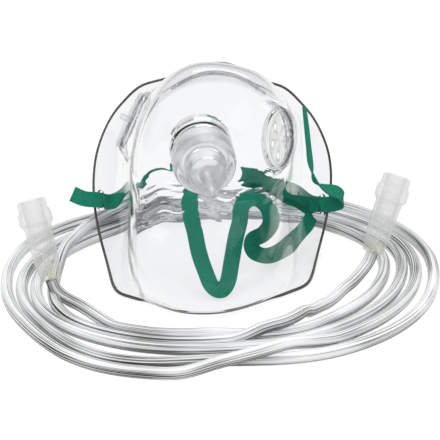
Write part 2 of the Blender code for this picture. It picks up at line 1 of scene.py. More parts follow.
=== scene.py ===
"""Looks of a clear disposable oxygen mask lying on its rim inside its coiled supply tubing.

The tables below are in millimetres from the point where the mask's chin meets the table, and
MaskBody.place carries them into the CAD frame: x runs across the face, y from the chin back to
the nose bridge, and z is up. The classes' sizes are in millimetres too. Finishes and the studio's
furniture are in metres, as Blender is.
"""
import logging
import math
from collections.abc import Sequence
from dataclasses import dataclass, field
from enum import Enum
from typing import NamedTuple

import bmesh
import bpy
from mathutils import Matrix, Vector
from mathutils.bvhtree import BVHTree


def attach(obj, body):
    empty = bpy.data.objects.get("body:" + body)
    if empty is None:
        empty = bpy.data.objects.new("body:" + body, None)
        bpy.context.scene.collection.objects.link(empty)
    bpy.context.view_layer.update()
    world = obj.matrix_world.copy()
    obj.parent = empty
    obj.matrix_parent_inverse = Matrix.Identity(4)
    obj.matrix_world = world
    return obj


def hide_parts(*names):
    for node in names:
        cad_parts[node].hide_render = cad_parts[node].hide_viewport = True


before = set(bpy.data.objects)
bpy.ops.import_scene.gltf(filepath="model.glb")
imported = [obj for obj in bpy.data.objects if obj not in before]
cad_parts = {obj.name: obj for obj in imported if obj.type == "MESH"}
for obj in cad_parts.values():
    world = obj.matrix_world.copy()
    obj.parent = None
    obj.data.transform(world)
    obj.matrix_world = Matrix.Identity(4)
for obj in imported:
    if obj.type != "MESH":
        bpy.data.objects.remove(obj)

MM = 0.001
BODY = "root"
log = logging.getLogger("oxygen_mask")

Pair = tuple[float, float]
Place = tuple[float, float, float]
Colour = tuple[float, float, float]


class Slot(Enum):
    """The record's material slots."""

    SHELL = "clear_pvc"
    CONNECTOR = "grey_clear_plastic"
    CLIP = "aluminium_strip"
    STRAP = "green_elastic"
    TUBING = "clear_tubing"
    END = "frosted_vinyl"


class Cut(Enum):
    """What a tool does to the piece that it meets."""

    JOIN = "UNION"
    REMOVE = "DIFFERENCE"


# Geometry shared by the pieces


class Seat(NamedTuple):
    """A point on the mask's skin, and the direction in which something leaves it."""

    point: Vector
    axis: Vector


def point(values: Sequence[float]) -> Vector:
    """A point or a length in millimetres, in metres."""
    return Vector(values) * MM


def smooth(knots: Sequence[Vector], steps: int) -> list[Vector]:
    """Catmull-Rom curve through knots.

    Args:
        knots: The points that the curve passes.
        steps: How many pieces each stretch between two knots is split into.

    Returns:
        The curve's points, the first and last knot among them.
    """
    ends = [knots[0] * 2 - knots[1], *knots, knots[-1] * 2 - knots[-2]]
    path = []
    for a, b, c, d in zip(ends, ends[1:], ends[2:], ends[3:]):
        for i in range(steps):
            t = i / steps
            path.append(0.5 * (2 * b + (c - a) * t + (2 * a - 5 * b + 4 * c - d) * t * t
                               + (3 * b - a - 3 * c + d) * t ** 3))
    return path + [knots[-1].copy()]


def ease(share: float) -> float:
    """A share from 0 to 1, eased in and out at its ends."""
    share = min(max(share, 0.0), 1.0)
    return share * share * (3.0 - 2.0 * share)


def along_axis(seat: Seat) -> Matrix:
    """Matrix that carries local +Z to a seat's axis.

    Args:
        seat: The point and the direction.

    Returns:
        The matrix, with its origin at the point.
    """
    z = seat.axis.normalized()
    x = Vector((0.0, 0.0, 1.0)).cross(z).normalized()
    turn = Matrix((x, z.cross(x), z)).transposed().to_4x4()
    return Matrix.Translation(seat.point) @ turn


def tangents(path: Sequence[Vector]) -> list[Vector]:
    """The direction of a path at each of its points."""
    last = len(path) - 1
    return [(path[min(i + 1, last)] - path[max(i - 1, 0)]).normalized() for i in range(last + 1)]


def lathe(bm: bmesh.types.BMesh, profile: Sequence[tuple[float, float]], place: Matrix,
          sides: int) -> None:
    """Turn a closed profile into a solid of revolution.

    Args:
        bm: The mesh that the solid is added to.
        profile: Radius and height of each corner, in millimetres, with 0 on the axis.
        place: Where the axis goes.
        sides: How many sides the solid has.
    """
    rings = []
    for radius, height in profile:
        count = sides if radius > 0 else 1
        ring = [bm.verts.new(place @ point((radius * math.cos(math.tau * i / sides),
                                            radius * math.sin(math.tau * i / sides), height)))
                for i in range(count)]
        rings.append(ring * (sides // count))
    for low, high in zip(rings, rings[1:] + rings[:1]):
        for i in range(sides):
            corners = list(dict.fromkeys((low[i - 1], low[i], high[i], high[i - 1])))
            if len(corners) > 2:
                bm.faces.new(corners)


def sweep(bm: bmesh.types.BMesh, rings: Sequence[Sequence[Vector]], capped: bool = True) -> None:
    """Skin a row of closed rings of equal count, and fill its two ends.

    Args:
        bm: The mesh that the skin is added to.
        rings: The rings' points, in order along the piece.
        capped: Whether the two ends are filled.
    """
    rows = [[bm.verts.new(p) for p in ring] for ring in rings]
    for low, high in zip(rows, rows[1:]):
        for i in range(len(low)):
            bm.faces.new((low[i - 1], low[i], high[i], high[i - 1]))
    if capped:
        bm.faces.new(rows[0])
        bm.faces.new(rows[-1][::-1])


def finish_mesh(bm: bmesh.types.BMesh, name: str, sharp: float = 40.0) -> bpy.types.Mesh:
    """Turn a bmesh into a smooth shaded mesh with its faces out.

    Args:
        bm: The bmesh, which is freed.
        name: The mesh's name.
        sharp: Edges that bend by more degrees than this stay sharp.

    Returns:
        The new mesh.
    """
    bmesh.ops.recalc_face_normals(bm, faces=bm.faces)
    mesh = bpy.data.meshes.new(name)
    bm.to_mesh(mesh)
    bm.free()
    mesh.shade_smooth()
    mesh.set_sharp_from_angle(angle=math.radians(sharp))
    return mesh


def link(name: str, mesh: bpy.types.Mesh) -> bpy.types.Object:
    """Put a mesh into the scene as an object.

    Args:
        name: The object's name.
        mesh: Its mesh.

    Returns:
        The new object.
    """
    made = bpy.data.objects.new(name, mesh)
    bpy.context.collection.objects.link(made)
    return made


def apply_modifiers(piece: bpy.types.Object) -> None:
    """Replace a piece's mesh by what its modifiers make of it.

    Args:
        piece: The piece.
    """
    graph = bpy.context.evaluated_depsgraph_get()
    graph.update()
    made = bpy.data.meshes.new_from_object(piece.evaluated_get(graph))
    piece.modifiers.clear()
    piece.data = made


def cut(piece: bpy.types.Object, bm: bmesh.types.BMesh, operation: Cut) -> None:
    """Join a bmesh to a piece or cut it away, and keep the result as the piece's mesh.

    Args:
        piece: The piece that changes.
        bm: The tool, which is freed.
        operation: Whether the tool is joined or removed.
    """
    tool = link("tool", finish_mesh(bm, "tool"))
    modifier = piece.modifiers.new("cut", "BOOLEAN")
    modifier.operation = operation.value
    modifier.solver = "EXACT"
    modifier.object = tool
    apply_modifiers(piece)
    bpy.data.objects.remove(tool, do_unlink=True)


def dress(piece: bpy.types.Object, material: bpy.types.Material, slot: Slot,
          *nodes: str) -> bpy.types.Object:
    """Give a piece its finish, its body and the CAD nodes that it stands for.

    Args:
        piece: The finished piece.
        material: What it is made of.
        slot: The record's slot that its finish belongs to; not used.
        nodes: The CAD nodes that it replaces, if any.

    Returns:
        The same piece.
    """
    piece.data.materials.clear()
    piece.data.materials.append(material)
    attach(piece, BODY)
    if nodes:
        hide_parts(*nodes)
    log.info("%s: %d faces", piece.name, len(piece.data.polygons))
    return piece


# Shader maths


class Wire:
    """A value on its way through a material, with Python's operators for its Math nodes."""

    def __init__(self, recipe: "Recipe", socket: bpy.types.NodeSocket) -> None:
        """Wrap a node's output socket."""
        self.recipe = recipe
        self.socket = socket

    def _math(self, operation: str, *values: "Wire | float") -> "Wire":
        """Add a Math node with this operation on the values."""
        return self.recipe.node("ShaderNodeMath", {"operation": operation}, dict(enumerate(values)))

    def __add__(self, other: "Wire | float") -> "Wire":
        """Sum."""
        return self._math("ADD", self, other)

    __radd__ = __add__

    def __mul__(self, other: "Wire | float") -> "Wire":
        """Product."""
        return self._math("MULTIPLY", self, other)

    __rmul__ = __mul__

    def __sub__(self, other: "Wire | float") -> "Wire":
        """Difference."""
        return self._math("SUBTRACT", self, other)

    def __rsub__(self, other: float) -> "Wire":
        """Difference from a number."""
        return self._math("SUBTRACT", other, self)

    def __or__(self, other: "Wire | float") -> "Wire":
        """The greater of two values."""
        return self._math("MAXIMUM", self, other)

    def sine(self) -> "Wire":
        """Sine of the value in radians."""
        return self._math("SINE", self)


class Recipe:
    """One material, built node by node."""

    # The Mix node's colour sockets share their names with its others, so they go by number
    MIX_LOW = 6
    MIX_HIGH = 7
    MIX_RESULT = 2

    def __init__(self, name: str) -> None:
        """Start an empty material.

        Args:
            name: The material's name.
        """
        self.material = bpy.data.materials.new(name)
        self.material.use_nodes = True
        self.tree = self.material.node_tree
        self.tree.nodes.clear()

    def node(self, kind: str, settings: dict | None = None, inputs: dict | None = None,
             output: str | int = 0) -> Wire:
        """Add a node.

        Args:
            kind: The node's type.
            settings: Its own settings, or a ramp's stops under the key stops.
            inputs: Values or wires for its sockets, by name or number.
            output: The socket to hand back.

        Returns:
            The named output.
        """
        made = self.tree.nodes.new(kind)
        for key, value in (settings or {}).items():
            if key == "stops":
                self._set_stops(made.color_ramp, value)
            else:
                setattr(made, key, value)
        for key, value in (inputs or {}).items():
            if isinstance(value, Wire):
                self.tree.links.new(value.socket, made.inputs[key])
            else:
                made.inputs[key].default_value = value
        return Wire(self, made.outputs[output])

    @staticmethod
    def _set_stops(ramp: bpy.types.ColorRamp, stops: Sequence[tuple[float, Colour]]) -> None:
        """Give a colour ramp its stops.

        Args:
            ramp: The ramp.
            stops: Position and colour of each stop.
        """
        while len(ramp.elements) < len(stops):
            ramp.elements.new(1.0)
        for element, (position, colour) in zip(ramp.elements, stops):
            element.position = position
            element.color = (*colour, 1.0)

    def position(self) -> Wire:
        """Where the surface is, in the piece's own metres."""
        return self.node("ShaderNodeTexCoord", output="Object")

    def noise(self, scale: float, detail: float = 2.0, vector: Wire | None = None) -> Wire:
        """Cloudy noise from 0 to 1, with a scale in lumps a metre."""
        inputs = {"Vector": vector or self.position(), "Scale": scale, "Detail": detail}
        return self.node("ShaderNodeTexNoise", inputs=inputs)

    def trait(self, name: str, output: str = "Fac") -> Wire:
        """A number, or with the output Vector a vector, that the mesh carries at its corners."""
        return self.node("ShaderNodeAttribute", {"attribute_name": name}, output=output)

    def ramp(self, share: Wire, stops: Sequence[tuple[float, Colour]]) -> Wire:
        """A colour from a row of stops."""
        return self.node("ShaderNodeValToRGB", {"stops": stops}, {0: share})

    def blend(self, share: Wire | float, low: Colour, high: Colour) -> Wire:
        """A colour between two, by a share from 0 to 1."""
        inputs = {0: share, self.MIX_LOW: (*low, 1.0), self.MIX_HIGH: (*high, 1.0)}
        return self.node("ShaderNodeMix", {"data_type": "RGBA"}, inputs, self.MIX_RESULT)

    def bump(self, height: Wire, distance: float, strength: float = 1.0) -> Wire:
        """A bump of the surface, as deep as a distance in metres."""
        return self.node("ShaderNodeBump", inputs={"Height": height, "Distance": distance,
                                                   "Strength": strength})

    def surface(self, inputs: dict) -> Wire:
        """A Principled shader."""
        return self.node("ShaderNodeBsdfPrincipled", inputs=inputs)

    def clear_of_shadow(self, shader: Wire, tint: Colour) -> Wire:
        """Let light through a clear piece, so that it only tints what lies in its shade.

        Args:
            shader: What the eye sees of the piece.
            tint: What the piece does to light on its way through.

        Returns:
            The shader with both.
        """
        glow = self.node("ShaderNodeBsdfTransparent", inputs={"Color": (*tint, 1.0)})
        lit = self.ray("Shadow") | self.ray("Diffuse")
        return self.node("ShaderNodeMixShader", inputs={0: lit, 1: shader, 2: glow})

    def ray(self, kind: str) -> Wire:
        """1 for rays of one kind."""
        return self.node("ShaderNodeLightPath", output=f"Is {kind} Ray")

    def slant(self, blend: float = 0.3) -> Wire:
        """How much the surface turns away from the eye, where a clear wall looks thicker."""
        return self.node("ShaderNodeLayerWeight", inputs={"Blend": blend}, output="Facing")

    def sees_white(self) -> Wire:
        """1 for rays that show the background: the camera's, and those through or off a piece."""
        return self.ray("Camera") | self.ray("Glossy") | self.ray("Transmission")

    def cloudy(self, level: float, depth: float, scale: float, detail: float = 2.0) -> Wire:
        """A number that wanders about a level by up to half a depth to each side."""
        return self.noise(scale, detail) * depth + (level - depth / 2)

    def done(self, shader: Wire) -> bpy.types.Material:
        """Send a shader to the output and hand back the material.

        Args:
            shader: What the surface looks like.

        Returns:
            The material.
        """
        made = self.tree.nodes.new("ShaderNodeOutputMaterial")
        self.tree.links.new(shader.socket, made.inputs["Surface"])
        return self.material


# Finishes


@dataclass(frozen=True)
class ClearVinyl:
    """Soft clear vinyl that bends what is seen through it and lets light through."""

    name: str = "clear_vinyl"
    colour: Colour = (0.87, 0.875, 0.885)
    roughest: float = 0.04
    refraction: float = 1.24
    ripple: float = 0.00004
    ripple_scale: float = 60.0
    shade: Colour = (0.94, 0.945, 0.945)

    def make(self) -> bpy.types.Material:
        """Build the material.

        Returns:
            The material.
        """
        recipe = Recipe(self.name)
        haze = recipe.noise(self.ripple_scale) * self.roughest
        wave = recipe.bump(recipe.noise(self.ripple_scale, 1.0), self.ripple)
        shader = recipe.surface({
            "Base Color": (*self.colour, 1.0), "Roughness": haze, "IOR": self.refraction,
            "Transmission Weight": 1.0, "Normal": wave})
        return recipe.done(recipe.clear_of_shadow(shader, self.shade))


@dataclass(frozen=True)
class ThinVinyl:
    """Finely moulded clear vinyl, greyer where it lies in layers and where it turns away."""

    name: str = "thin_vinyl"
    colour: Colour = (0.36, 0.37, 0.39)
    cover: float = 0.1
    thicker: float = 0.45
    cloud: float = 0.06
    cloud_scale: float = 220.0
    roughness: float = 0.15
    shade: Colour = (0.93, 0.93, 0.935)

    def make(self) -> bpy.types.Material:
        """Build the material.

        Returns:
            The material.
        """
        recipe = Recipe(self.name)
        cover = recipe.cloudy(self.cover, self.cloud, self.cloud_scale) + recipe.slant() * self.thicker
        shader = recipe.surface({"Base Color": (*self.colour, 1.0), "Roughness": self.roughness,
                                 "Alpha": cover})
        return recipe.done(recipe.clear_of_shadow(shader, self.shade))


@dataclass(frozen=True)
class PaintedStreakTubing:
    """Clear tubing, whose hollow star gathers light and dark into streaks along its length, painted into its
    colour as streaks of refracted light and shade, with painted patches of reflection and painted shade on
    its underside.
    """

    name: str = "painted_streak_tubing"
    broad_scale: float = 4.6
    fine_scale: float = 9.0
    fine_share: float = 0.55
    # Painted reflection: the size and strength of patches that darken or lighten the streaks
    reflection_patch_scale: float = 26.0
    reflection_patch_share: float = 0.34
    # Painted shade on the tube's lower side: where it starts, and how dark it gets
    painted_shade_from: float = 0.16
    under: float = 0.22
    # Painted light: the ramp runs from near-black painted shade lines up to white painted highlights
    stops: tuple[Pair, ...] = ((0.37, 0.01), (0.42, 0.16), (0.46, 0.52), (0.50, 0.82), (0.56, 1.0))
    cool: Colour = (1.0, 1.01, 1.02)
    cover: float = 0.72
    roughness: float = 0.12
    refraction: float = 1.4
    shade: Colour = (0.9, 0.905, 0.91)

    def make(self) -> bpy.types.Material:
        """Build the material.

        Returns:
            The material.
        """
        recipe = Recipe(self.name)
        round_and_along = recipe.trait("round_and_along", "Vector")
        # Painted refracted light and shade: fine and broad streaks laid out round and along the tube
        fine = recipe.noise(self.fine_scale, 2.0, round_and_along) * self.fine_share
        broad = recipe.noise(self.broad_scale, 1.0, round_and_along) * (1.0 - self.fine_share)
        # Painted reflection: patches where dark or bright surroundings would show in the tube
        painted_reflection_patches = recipe.noise(self.reflection_patch_scale, 1.0) - 0.5
        # Painted shade: the tube's lower side, towards the table and the turns beneath, is darkened
        below = recipe.node("ShaderNodeSeparateXYZ", inputs={0: round_and_along}) * -1.0
        painted_underside_shade = (below - self.painted_shade_from | 0.0) * self.under
        level = fine + broad + painted_reflection_patches * self.reflection_patch_share - painted_underside_shade
        # The painted streaks, reflections and shade make the base colour
        colour = recipe.ramp(level, [(at, tuple(grey * c for c in self.cool)) for at, grey in self.stops])
        shader = recipe.surface({"Base Color": colour, "Roughness": self.roughness,
                                 "Alpha": self.cover, "IOR": self.refraction})
        return recipe.done(recipe.clear_of_shadow(shader, self.shade))


@dataclass(frozen=True)
class PaintedShadeRim:
    """The cut edge of the clear wall, which gathers the light's dark side, shown as a near-black painted
    shade in its colour.
    """

    name: str = "rim_painted_shade"
    # Painted shade: the near-black colour stands in for the dark line that light bent in the clear wall
    # shows along its edge
    colour: Colour = (0.05, 0.043, 0.045)
    paler: float = 1.9
    cloud_scale: float = 35.0
    roughness: float = 0.25

    def make(self) -> bpy.types.Material:
        """Build the material.

        Returns:
            The material.
        """
        recipe = Recipe(self.name)
        # A paler, cloudy variation of the painted shade
        lighter = tuple(c * self.paler for c in self.colour)
        colour = recipe.blend(recipe.noise(self.cloud_scale), self.colour, lighter)
        return recipe.done(recipe.surface({"Base Color": colour, "Roughness": self.roughness}))


@dataclass(frozen=True)
class GreyClear:
    """Translucent grey plastic of the port's connector."""

    name: str = "grey_clear"
    colour: Colour = (0.80, 0.815, 0.825)
    roughness: float = 0.12
    haze: float = 0.1
    haze_scale: float = 90.0
    refraction: float = 1.46
    clear: float = 0.85
    shade: Colour = (0.8, 0.81, 0.82)

    def make(self) -> bpy.types.Material:
        """Build the material.

        Returns:
            The material.
        """
        recipe = Recipe(self.name)
        haze = recipe.noise(self.haze_scale) * self.haze + self.roughness
        shader = recipe.surface({"Base Color": (*self.colour, 1.0), "Roughness": haze,
                                 "IOR": self.refraction, "Transmission Weight": self.clear})
        return recipe.done(recipe.clear_of_shadow(shader, self.shade))


@dataclass(frozen=True)
class FrostedVinyl:
    """Cloudy vinyl of the tubing's end connectors, faintly yellow where it ends."""

    name: str = "frosted_vinyl"
    colour: Colour = (0.74, 0.75, 0.75)
    yellow: Colour = (0.64, 0.63, 0.51)
    cover: float = 0.27
    thicker: float = 0.5
    cloud: float = 0.16
    cloud_scale: float = 90.0
    cloud_detail: float = 3.0
    roughness: float = 0.16
    shade: Colour = (0.85, 0.85, 0.83)

    def make(self) -> bpy.types.Material:
        """Build the material.

        Returns:
            The material.
        """
        recipe = Recipe(self.name)
        tint = recipe.blend(recipe.trait("tail"), self.colour, self.yellow)
        cloud = recipe.cloudy(self.cover, self.cloud, self.cloud_scale, self.cloud_detail)
        cover = cloud + recipe.slant() * self.thicker
        shader = recipe.surface({"Base Color": tint, "Roughness": self.roughness, "Alpha": cover})
        return recipe.done(recipe.clear_of_shadow(shader, self.shade))


@dataclass(frozen=True)
class WovenElastic:
    """Flat green elastic with fine threads across it, cloudy with wear."""

    name: str = "woven_elastic"
    colour: Colour = (0.006, 0.165, 0.10)
    light: Colour = (0.02, 0.28, 0.19)
    thread_pace: float = 5200.0
    cloud_scale: float = 420.0
    cloud_detail: float = 4.0
    worn: Pair = (0.6, 0.25)
    weave: Pair = (0.4, 0.6)
    weave_depth: float = 0.00008
    weave_strength: float = 0.8
    roughness: float = 0.8
    gloss: float = 0.25

    def make(self) -> bpy.types.Material:
        """Build the material.

        Returns:
            The material.
        """
        recipe = Recipe(self.name)
        threads = (recipe.trait("along") * self.thread_pace).sine() * 0.5 + 0.5
        cloud = recipe.noise(self.cloud_scale, self.cloud_detail)
        worn = cloud * self.worn[0] + threads * self.worn[1]
        colour = recipe.blend(worn, self.colour, self.light)
        height = cloud * self.weave[0] + threads * self.weave[1]
        weave = recipe.bump(height, self.weave_depth, self.weave_strength)
        return recipe.done(recipe.surface({"Base Color": colour, "Roughness": self.roughness,
                                           "Normal": weave, "Specular IOR Level": self.gloss}))


@dataclass(frozen=True)
class SoftAluminium:
    """Plain soft aluminium strip with fine draw marks."""

    name: str = "soft_aluminium"
    colour: Colour = (0.06, 0.062, 0.065)
    bright: Colour = (0.66, 0.665, 0.67)
    marks_scale: float = 700.0
    marks_detail: float = 3.0
    marks_depth: float = 0.00003
    drawn: Place = (0.12, 1.0, 1.0)
    contrast: float = 4.0
    darkest_mark: float = 1.5
    roughness: float = 0.25
    rougher: float = 0.2

    def make(self) -> bpy.types.Material:
        """Build the material.

        Returns:
            The material.
        """
        recipe = Recipe(self.name)
        along = recipe.node("ShaderNodeVectorMath", {"operation": "MULTIPLY"},
                            {0: recipe.position(), 1: self.drawn})
        marks = recipe.noise(self.marks_scale, self.marks_detail, along)
        colour = recipe.blend(marks * self.contrast - self.darkest_mark, self.colour, self.bright)
        return recipe.done(recipe.surface({
            "Base Color": colour, "Metallic": 1.0, "Roughness": marks * self.rougher + self.roughness,
            "Normal": recipe.bump(marks, self.marks_depth)}))


@dataclass(frozen=True)
class PaleTable:
    """White table that keeps a faint shadow and shows white to the camera."""

    name: str = "pale_table"
    shown: float = 0.80
    lit: float = 0.24
    bounce: Colour = (0.80, 0.80, 0.80)

    def make(self) -> bpy.types.Material:
        """Build the material.

        Returns:
            The material.
        """
        recipe = Recipe(self.name)
        bounce = recipe.node("ShaderNodeBsdfDiffuse", inputs={"Color": (*self.bounce, 1.0)})
        grey = recipe.node("ShaderNodeBsdfDiffuse", inputs={"Color": (self.lit,) * 3 + (1.0,)})
        glow = recipe.node("ShaderNodeEmission", inputs={"Strength": self.shown})
        white = recipe.node("ShaderNodeAddShader", inputs={0: grey, 1: glow})
        shown = {0: recipe.sees_white(), 1: bounce, 2: white}
        return recipe.done(recipe.node("ShaderNodeMixShader", inputs=shown))


@dataclass(frozen=True)
class DarkCard:
    """Black card that gives clear and shiny pieces their dark edges."""

    name: str
    colour: Colour = (0.02, 0.02, 0.02)

    def make(self) -> bpy.types.Material:
        """Build the material.

        Returns:
            The material.
        """
        recipe = Recipe(self.name)
        return recipe.done(recipe.node("ShaderNodeBsdfDiffuse", inputs={"Color": (*self.colour, 1.0)}))


# The mask body


class Station(NamedTuple):
    """Half a section across the face: u up the face, w out from it, x half widths."""

    rim_x: float
    rim_u: float
    rim_w: float
    crease_x: float
    wall_x: float
    edge_x: float
    crown_u: float
    crown_w: float


STATIONS = (
    Station(42.0, 20.8, -12.9, 35.0, 25.0, 12.0, -4.5, 2.7),
    Station(45.0, 31.0, -19.4, 37.0, 31.0, 19.0, -6.5, 10.0),
    Station(46.5, 40.0, -24.0, 37.0, 34.0, 25.0, 5.0, 24.0),
    Station(49.0, 54.0, -31.0, 37.5, 35.0, 28.0, 22.0, 34.0),
    Station(52.0, 68.0, -35.0, 38.0, 35.5, 28.0, 44.0, 31.0),
    Station(54.5, 80.0, -34.0, 39.0, 36.5, 29.0, 48.0, 39.0),
    Station(56.0, 92.0, -28.0, 40.0, 37.0, 28.0, 58.0, 56.0),
    Station(55.0, 104.0, -22.0, 40.0, 35.5, 24.0, 84.0, 59.0),
    Station(51.5, 113.0, -17.0, 38.5, 31.0, 18.0, 106.0, 47.0),
    Station(47.0, 122.0, -14.0, 34.0, 25.0, 14.0, 117.0, 21.0),
    Station(41.0, 129.0, -12.0, 29.0, 19.0, 10.0, 123.0, 8.0),
    Station(34.0, 136.0, -9.0, 24.0, 15.0, 7.0, 138.0, 5.0),
)
COLUMN_RISE = (0.0, 0.16, 0.55, 0.93)


@dataclass
class MaskBody:
    """The moulded mask: flange, chin cup, nose dome, port, vents, strap slots and clip pegs."""

    wall: float = 1.4
    # The pose in which the limp mask rests on its rim
    pitch: float = math.radians(31.0)
    skew: float = 0.10
    nose_skew: float = -0.04
    nose_from: float = 70.0
    nose_run: float = 60.0
    twist: float = math.radians(14.0)
    roll: float = math.radians(2.0)
    twist_centre: float = 82.0
    twist_from: float = -8.0
    twist_to: float = 40.0
    origin: Pair = (3.748, -47.419)
    # How finely the skin is subdivided, for the way down to the table and for good
    floor_level: int = 2
    level: int = 4
    # The front port
    port_at: Place = (-5.0, 22.0, 68.2)
    port_axis: Place = (0.09, -1.0, -0.03)
    port_outer: float = 27.5
    port_bore: float = 24.1
    port_length: float = 7.4
    port_root: float = 6.0
    port_blend: float = 5.0
    # The vents, the right one first
    vent_at: tuple[Place, Place] = ((31.0, 38.0, 67.5), (-36.0, 75.0, 62.0))
    vent_axis: tuple[Place, Place] = ((0.87, -0.47, 0.12), (-0.90, 0.05, 0.42))
    vent_diameter: float = 27.0
    vent_boss: float = 2.0
    vent_blend: float = 4.0
    vent_rise: float = 1.8
    vent_root: float = 0.6
    vent_ring: float = 1.5
    vent_face: float = 1.2
    vent_sink: float = 0.8
    vent_holes: int = 6
    vent_hole: float = 4.0
    vent_hole_radius: float = 7.6
    vent_pin: float = 2.6
    vent_pin_length: float = 4.5
    lip: float = 0.35
    # The nose strip and the pegs that hold it
    clip_spread: float = 56.0
    clip_at: Pair = (132.0, 8.0)
    clip_droop: float = 0.2
    clip_end: float = 5.0
    clip_lift: float = 0.9
    clip_thickness: float = 0.8
    peg: float = 2.2
    peg_head: float = 3.8
    peg_head_height: float = 0.8
    peg_gap: float = 0.3
    peg_under: float = 0.2
    peg_lip: float = 0.3
    # The soft folds between the nose chamber and the chin
    fold_at: Pair = (-2.0, 47.0)
    fold_reach: Pair = (33.0, 6.0)
    fold_bow: float = 5.0
    fold_pitch: float = 6.5
    fold_depth: float = 0.55
    fold_bends: tuple[Pair, ...] = ((3.0, 6.5), (1.5, 2.9))
    fold_finer: float = 2.7
    fold_fine_depth: float = 0.4
    fold_fine_run: float = 3.0
    fold_behind: float = 45.0
    # The strap slots, the right one first
    slot_at: tuple[Place, Place] = ((50.5, 89.0, 16.0), (-51.0, 84.0, 20.0))
    slot_row: int = 6
    slot_length: float = 10.0
    slot_width: float = 3.4
    # How finely the round pieces and the rim are made
    sides: int = 56
    few_sides: int = 24
    rim_sides: int = 10
    rim_radius: float = 0.7
    rim_sharp: float = 80.0
    sharp: float = 45.0
    offset: Vector = field(default_factory=Vector)
    tree: BVHTree | None = None

    def settle(self, x: float, u: float, w: float) -> Vector:
        """Carry a point of the moulded mask to where the limp mask lies, before any offset.

        Args:
            x: How far across the face, in millimetres.
            u: How far up the face.
            w: How far out from it.

        Returns:
            The point, in metres.
        """
        share = min(max((w - self.twist_from) / (self.twist_to - self.twist_from), 0.0), 1.0)
        twist, roll = self.twist * share, self.roll * share
        nose = ease((u - self.nose_from) / self.nose_run) * (1.0 - share)
        skew = self.skew + (self.nose_skew - self.skew) * nose
        up, out = u - self.twist_centre, w - self.twist_from
        turned = x * math.cos(twist) + up * math.sin(twist)
        u = self.twist_centre - x * math.sin(twist) + up * math.cos(twist)
        x = turned * math.cos(roll) + out * math.sin(roll)
        w = self.twist_from - turned * math.sin(roll) + out * math.cos(roll)
        y = u * math.cos(self.pitch) - w * math.sin(self.pitch) + skew * x
        return point((x, y, u * math.sin(self.pitch) + w * math.cos(self.pitch)))

    def section(self, row: Station) -> list[Vector]:
        """One row of the cage, from the left rim over the crown to the right rim.

        Args:
            row: The row's half section.

        Returns:
            The row's points, in metres.
        """
        half = [(x, row.rim_u + (row.crown_u - row.rim_u) * rise,
                 row.rim_w + (row.crown_w - row.rim_w) * rise)
                for x, rise in zip((row.rim_x, row.crease_x, row.wall_x, row.edge_x), COLUMN_RISE)]
        left = [(-x, u, w) for x, u, w in half]
        return [self.settle(*p) for p in left + [(0.0, row.crown_u, row.crown_w)] + half[::-1]]

    def skin(self, level: int) -> bpy.types.Object:
        """The mask's outer surface, subdivided from its cage of sections.

        Args:
            level: How many times the cage is subdivided.

        Returns:
            The surface, before any offset.
        """
        bm = bmesh.new()
        rows = [[bm.verts.new(p) for p in self.section(row)] for row in STATIONS]
        for low, high in zip(rows, rows[1:]):
            for i in range(len(low) - 1):
                bm.faces.new((low[i], low[i + 1], high[i + 1], high[i]))
        mesh = bpy.data.meshes.new("mask_body")
        bm.to_mesh(mesh)
        bm.free()
        made = link("mask_body", mesh)
        rounding = made.modifiers.new("rounding", "SUBSURF")
        rounding.levels = rounding.render_levels = level
        apply_modifiers(made)
        return made

    def add_wall(self, piece: bpy.types.Object) -> None:
        """Give a skin the wall's thickness, inwards.

        Args:
            piece: The skin.
        """
        wall = piece.modifiers.new("wall", "SOLIDIFY")
        wall.thickness = self.wall * MM
        wall.offset = -1.0

    def find_offset(self) -> None:
        """Work out how far the mask moves to stand on the table at its place in the frame."""
        coarse = self.skin(self.floor_level)
        self.add_wall(coarse)
        apply_modifiers(coarse)
        floor = min(v.co.z for v in coarse.data.vertices)
        self.offset = point((*self.origin, 0.0)) - Vector((0.0, 0.0, floor))
        bpy.data.objects.remove(coarse, do_unlink=True)

    def place(self, values: Sequence[float]) -> Vector:
        """A point of the design, which stands on the table, in the frame."""
        return point(values) + Vector((self.offset.x, self.offset.y, 0.0))

    def nearest(self, near: Vector) -> Seat:
        """The skin's nearest point, with the direction that faces out."""
        spot, normal, _, _ = self.tree.find_nearest(near)
        return Seat(spot, normal)

    def port_seat(self) -> Seat:
        """Where the port's axis leaves the front of the nose chamber."""
        return Seat(self.nearest(self.place(self.port_at)).point, Vector(self.port_axis).normalized())

    def vent_seats(self) -> list[Seat]:
        """Where each vent's disc sits in the chamber wall.

        Returns:
            The right vent's seat and the left one's.
        """
        seats = []
        for at, axis in zip(self.vent_at, self.vent_axis):
            out = Vector(axis).normalized()
            seats.append(Seat(self.nearest(self.place(at)).point + out * self.vent_boss * MM, out))
        return seats

    @staticmethod
    def press_flat(mesh: bpy.types.Mesh, seat: Seat, radius: float, blend: float) -> None:
        """Flatten the skin round a seat, with radius and blend in millimetres.

        Args:
            mesh: The skin's mesh.
            seat: The middle of the flat, and its axis.
            radius: The radius of the flat.
            blend: The width of the blend round it.
        """
        for vertex in mesh.vertices:
            away = vertex.co - seat.point
            height = away.dot(seat.axis)
            spread = (away - seat.axis * height).length
            if spread < (radius + blend) * MM and abs(height) < radius * MM:
                share = (radius + blend - spread / MM) / blend
                vertex.co -= seat.axis * height * ease(share)

    def clip_line(self, steps: int) -> list[Seat]:
        """The skin under the nose strip, from its left end to its right one.

        Args:
            steps: How many pieces the line has.

        Returns:
            The line's points, with the skin's normals.
        """
        line = []
        for i in range(steps + 1):
            x = self.clip_spread * (i / steps - 0.5)
            u, w = self.clip_at
            line.append(self.nearest(self.settle(x, u, w - abs(x) * self.clip_droop) + self.offset))
        return line

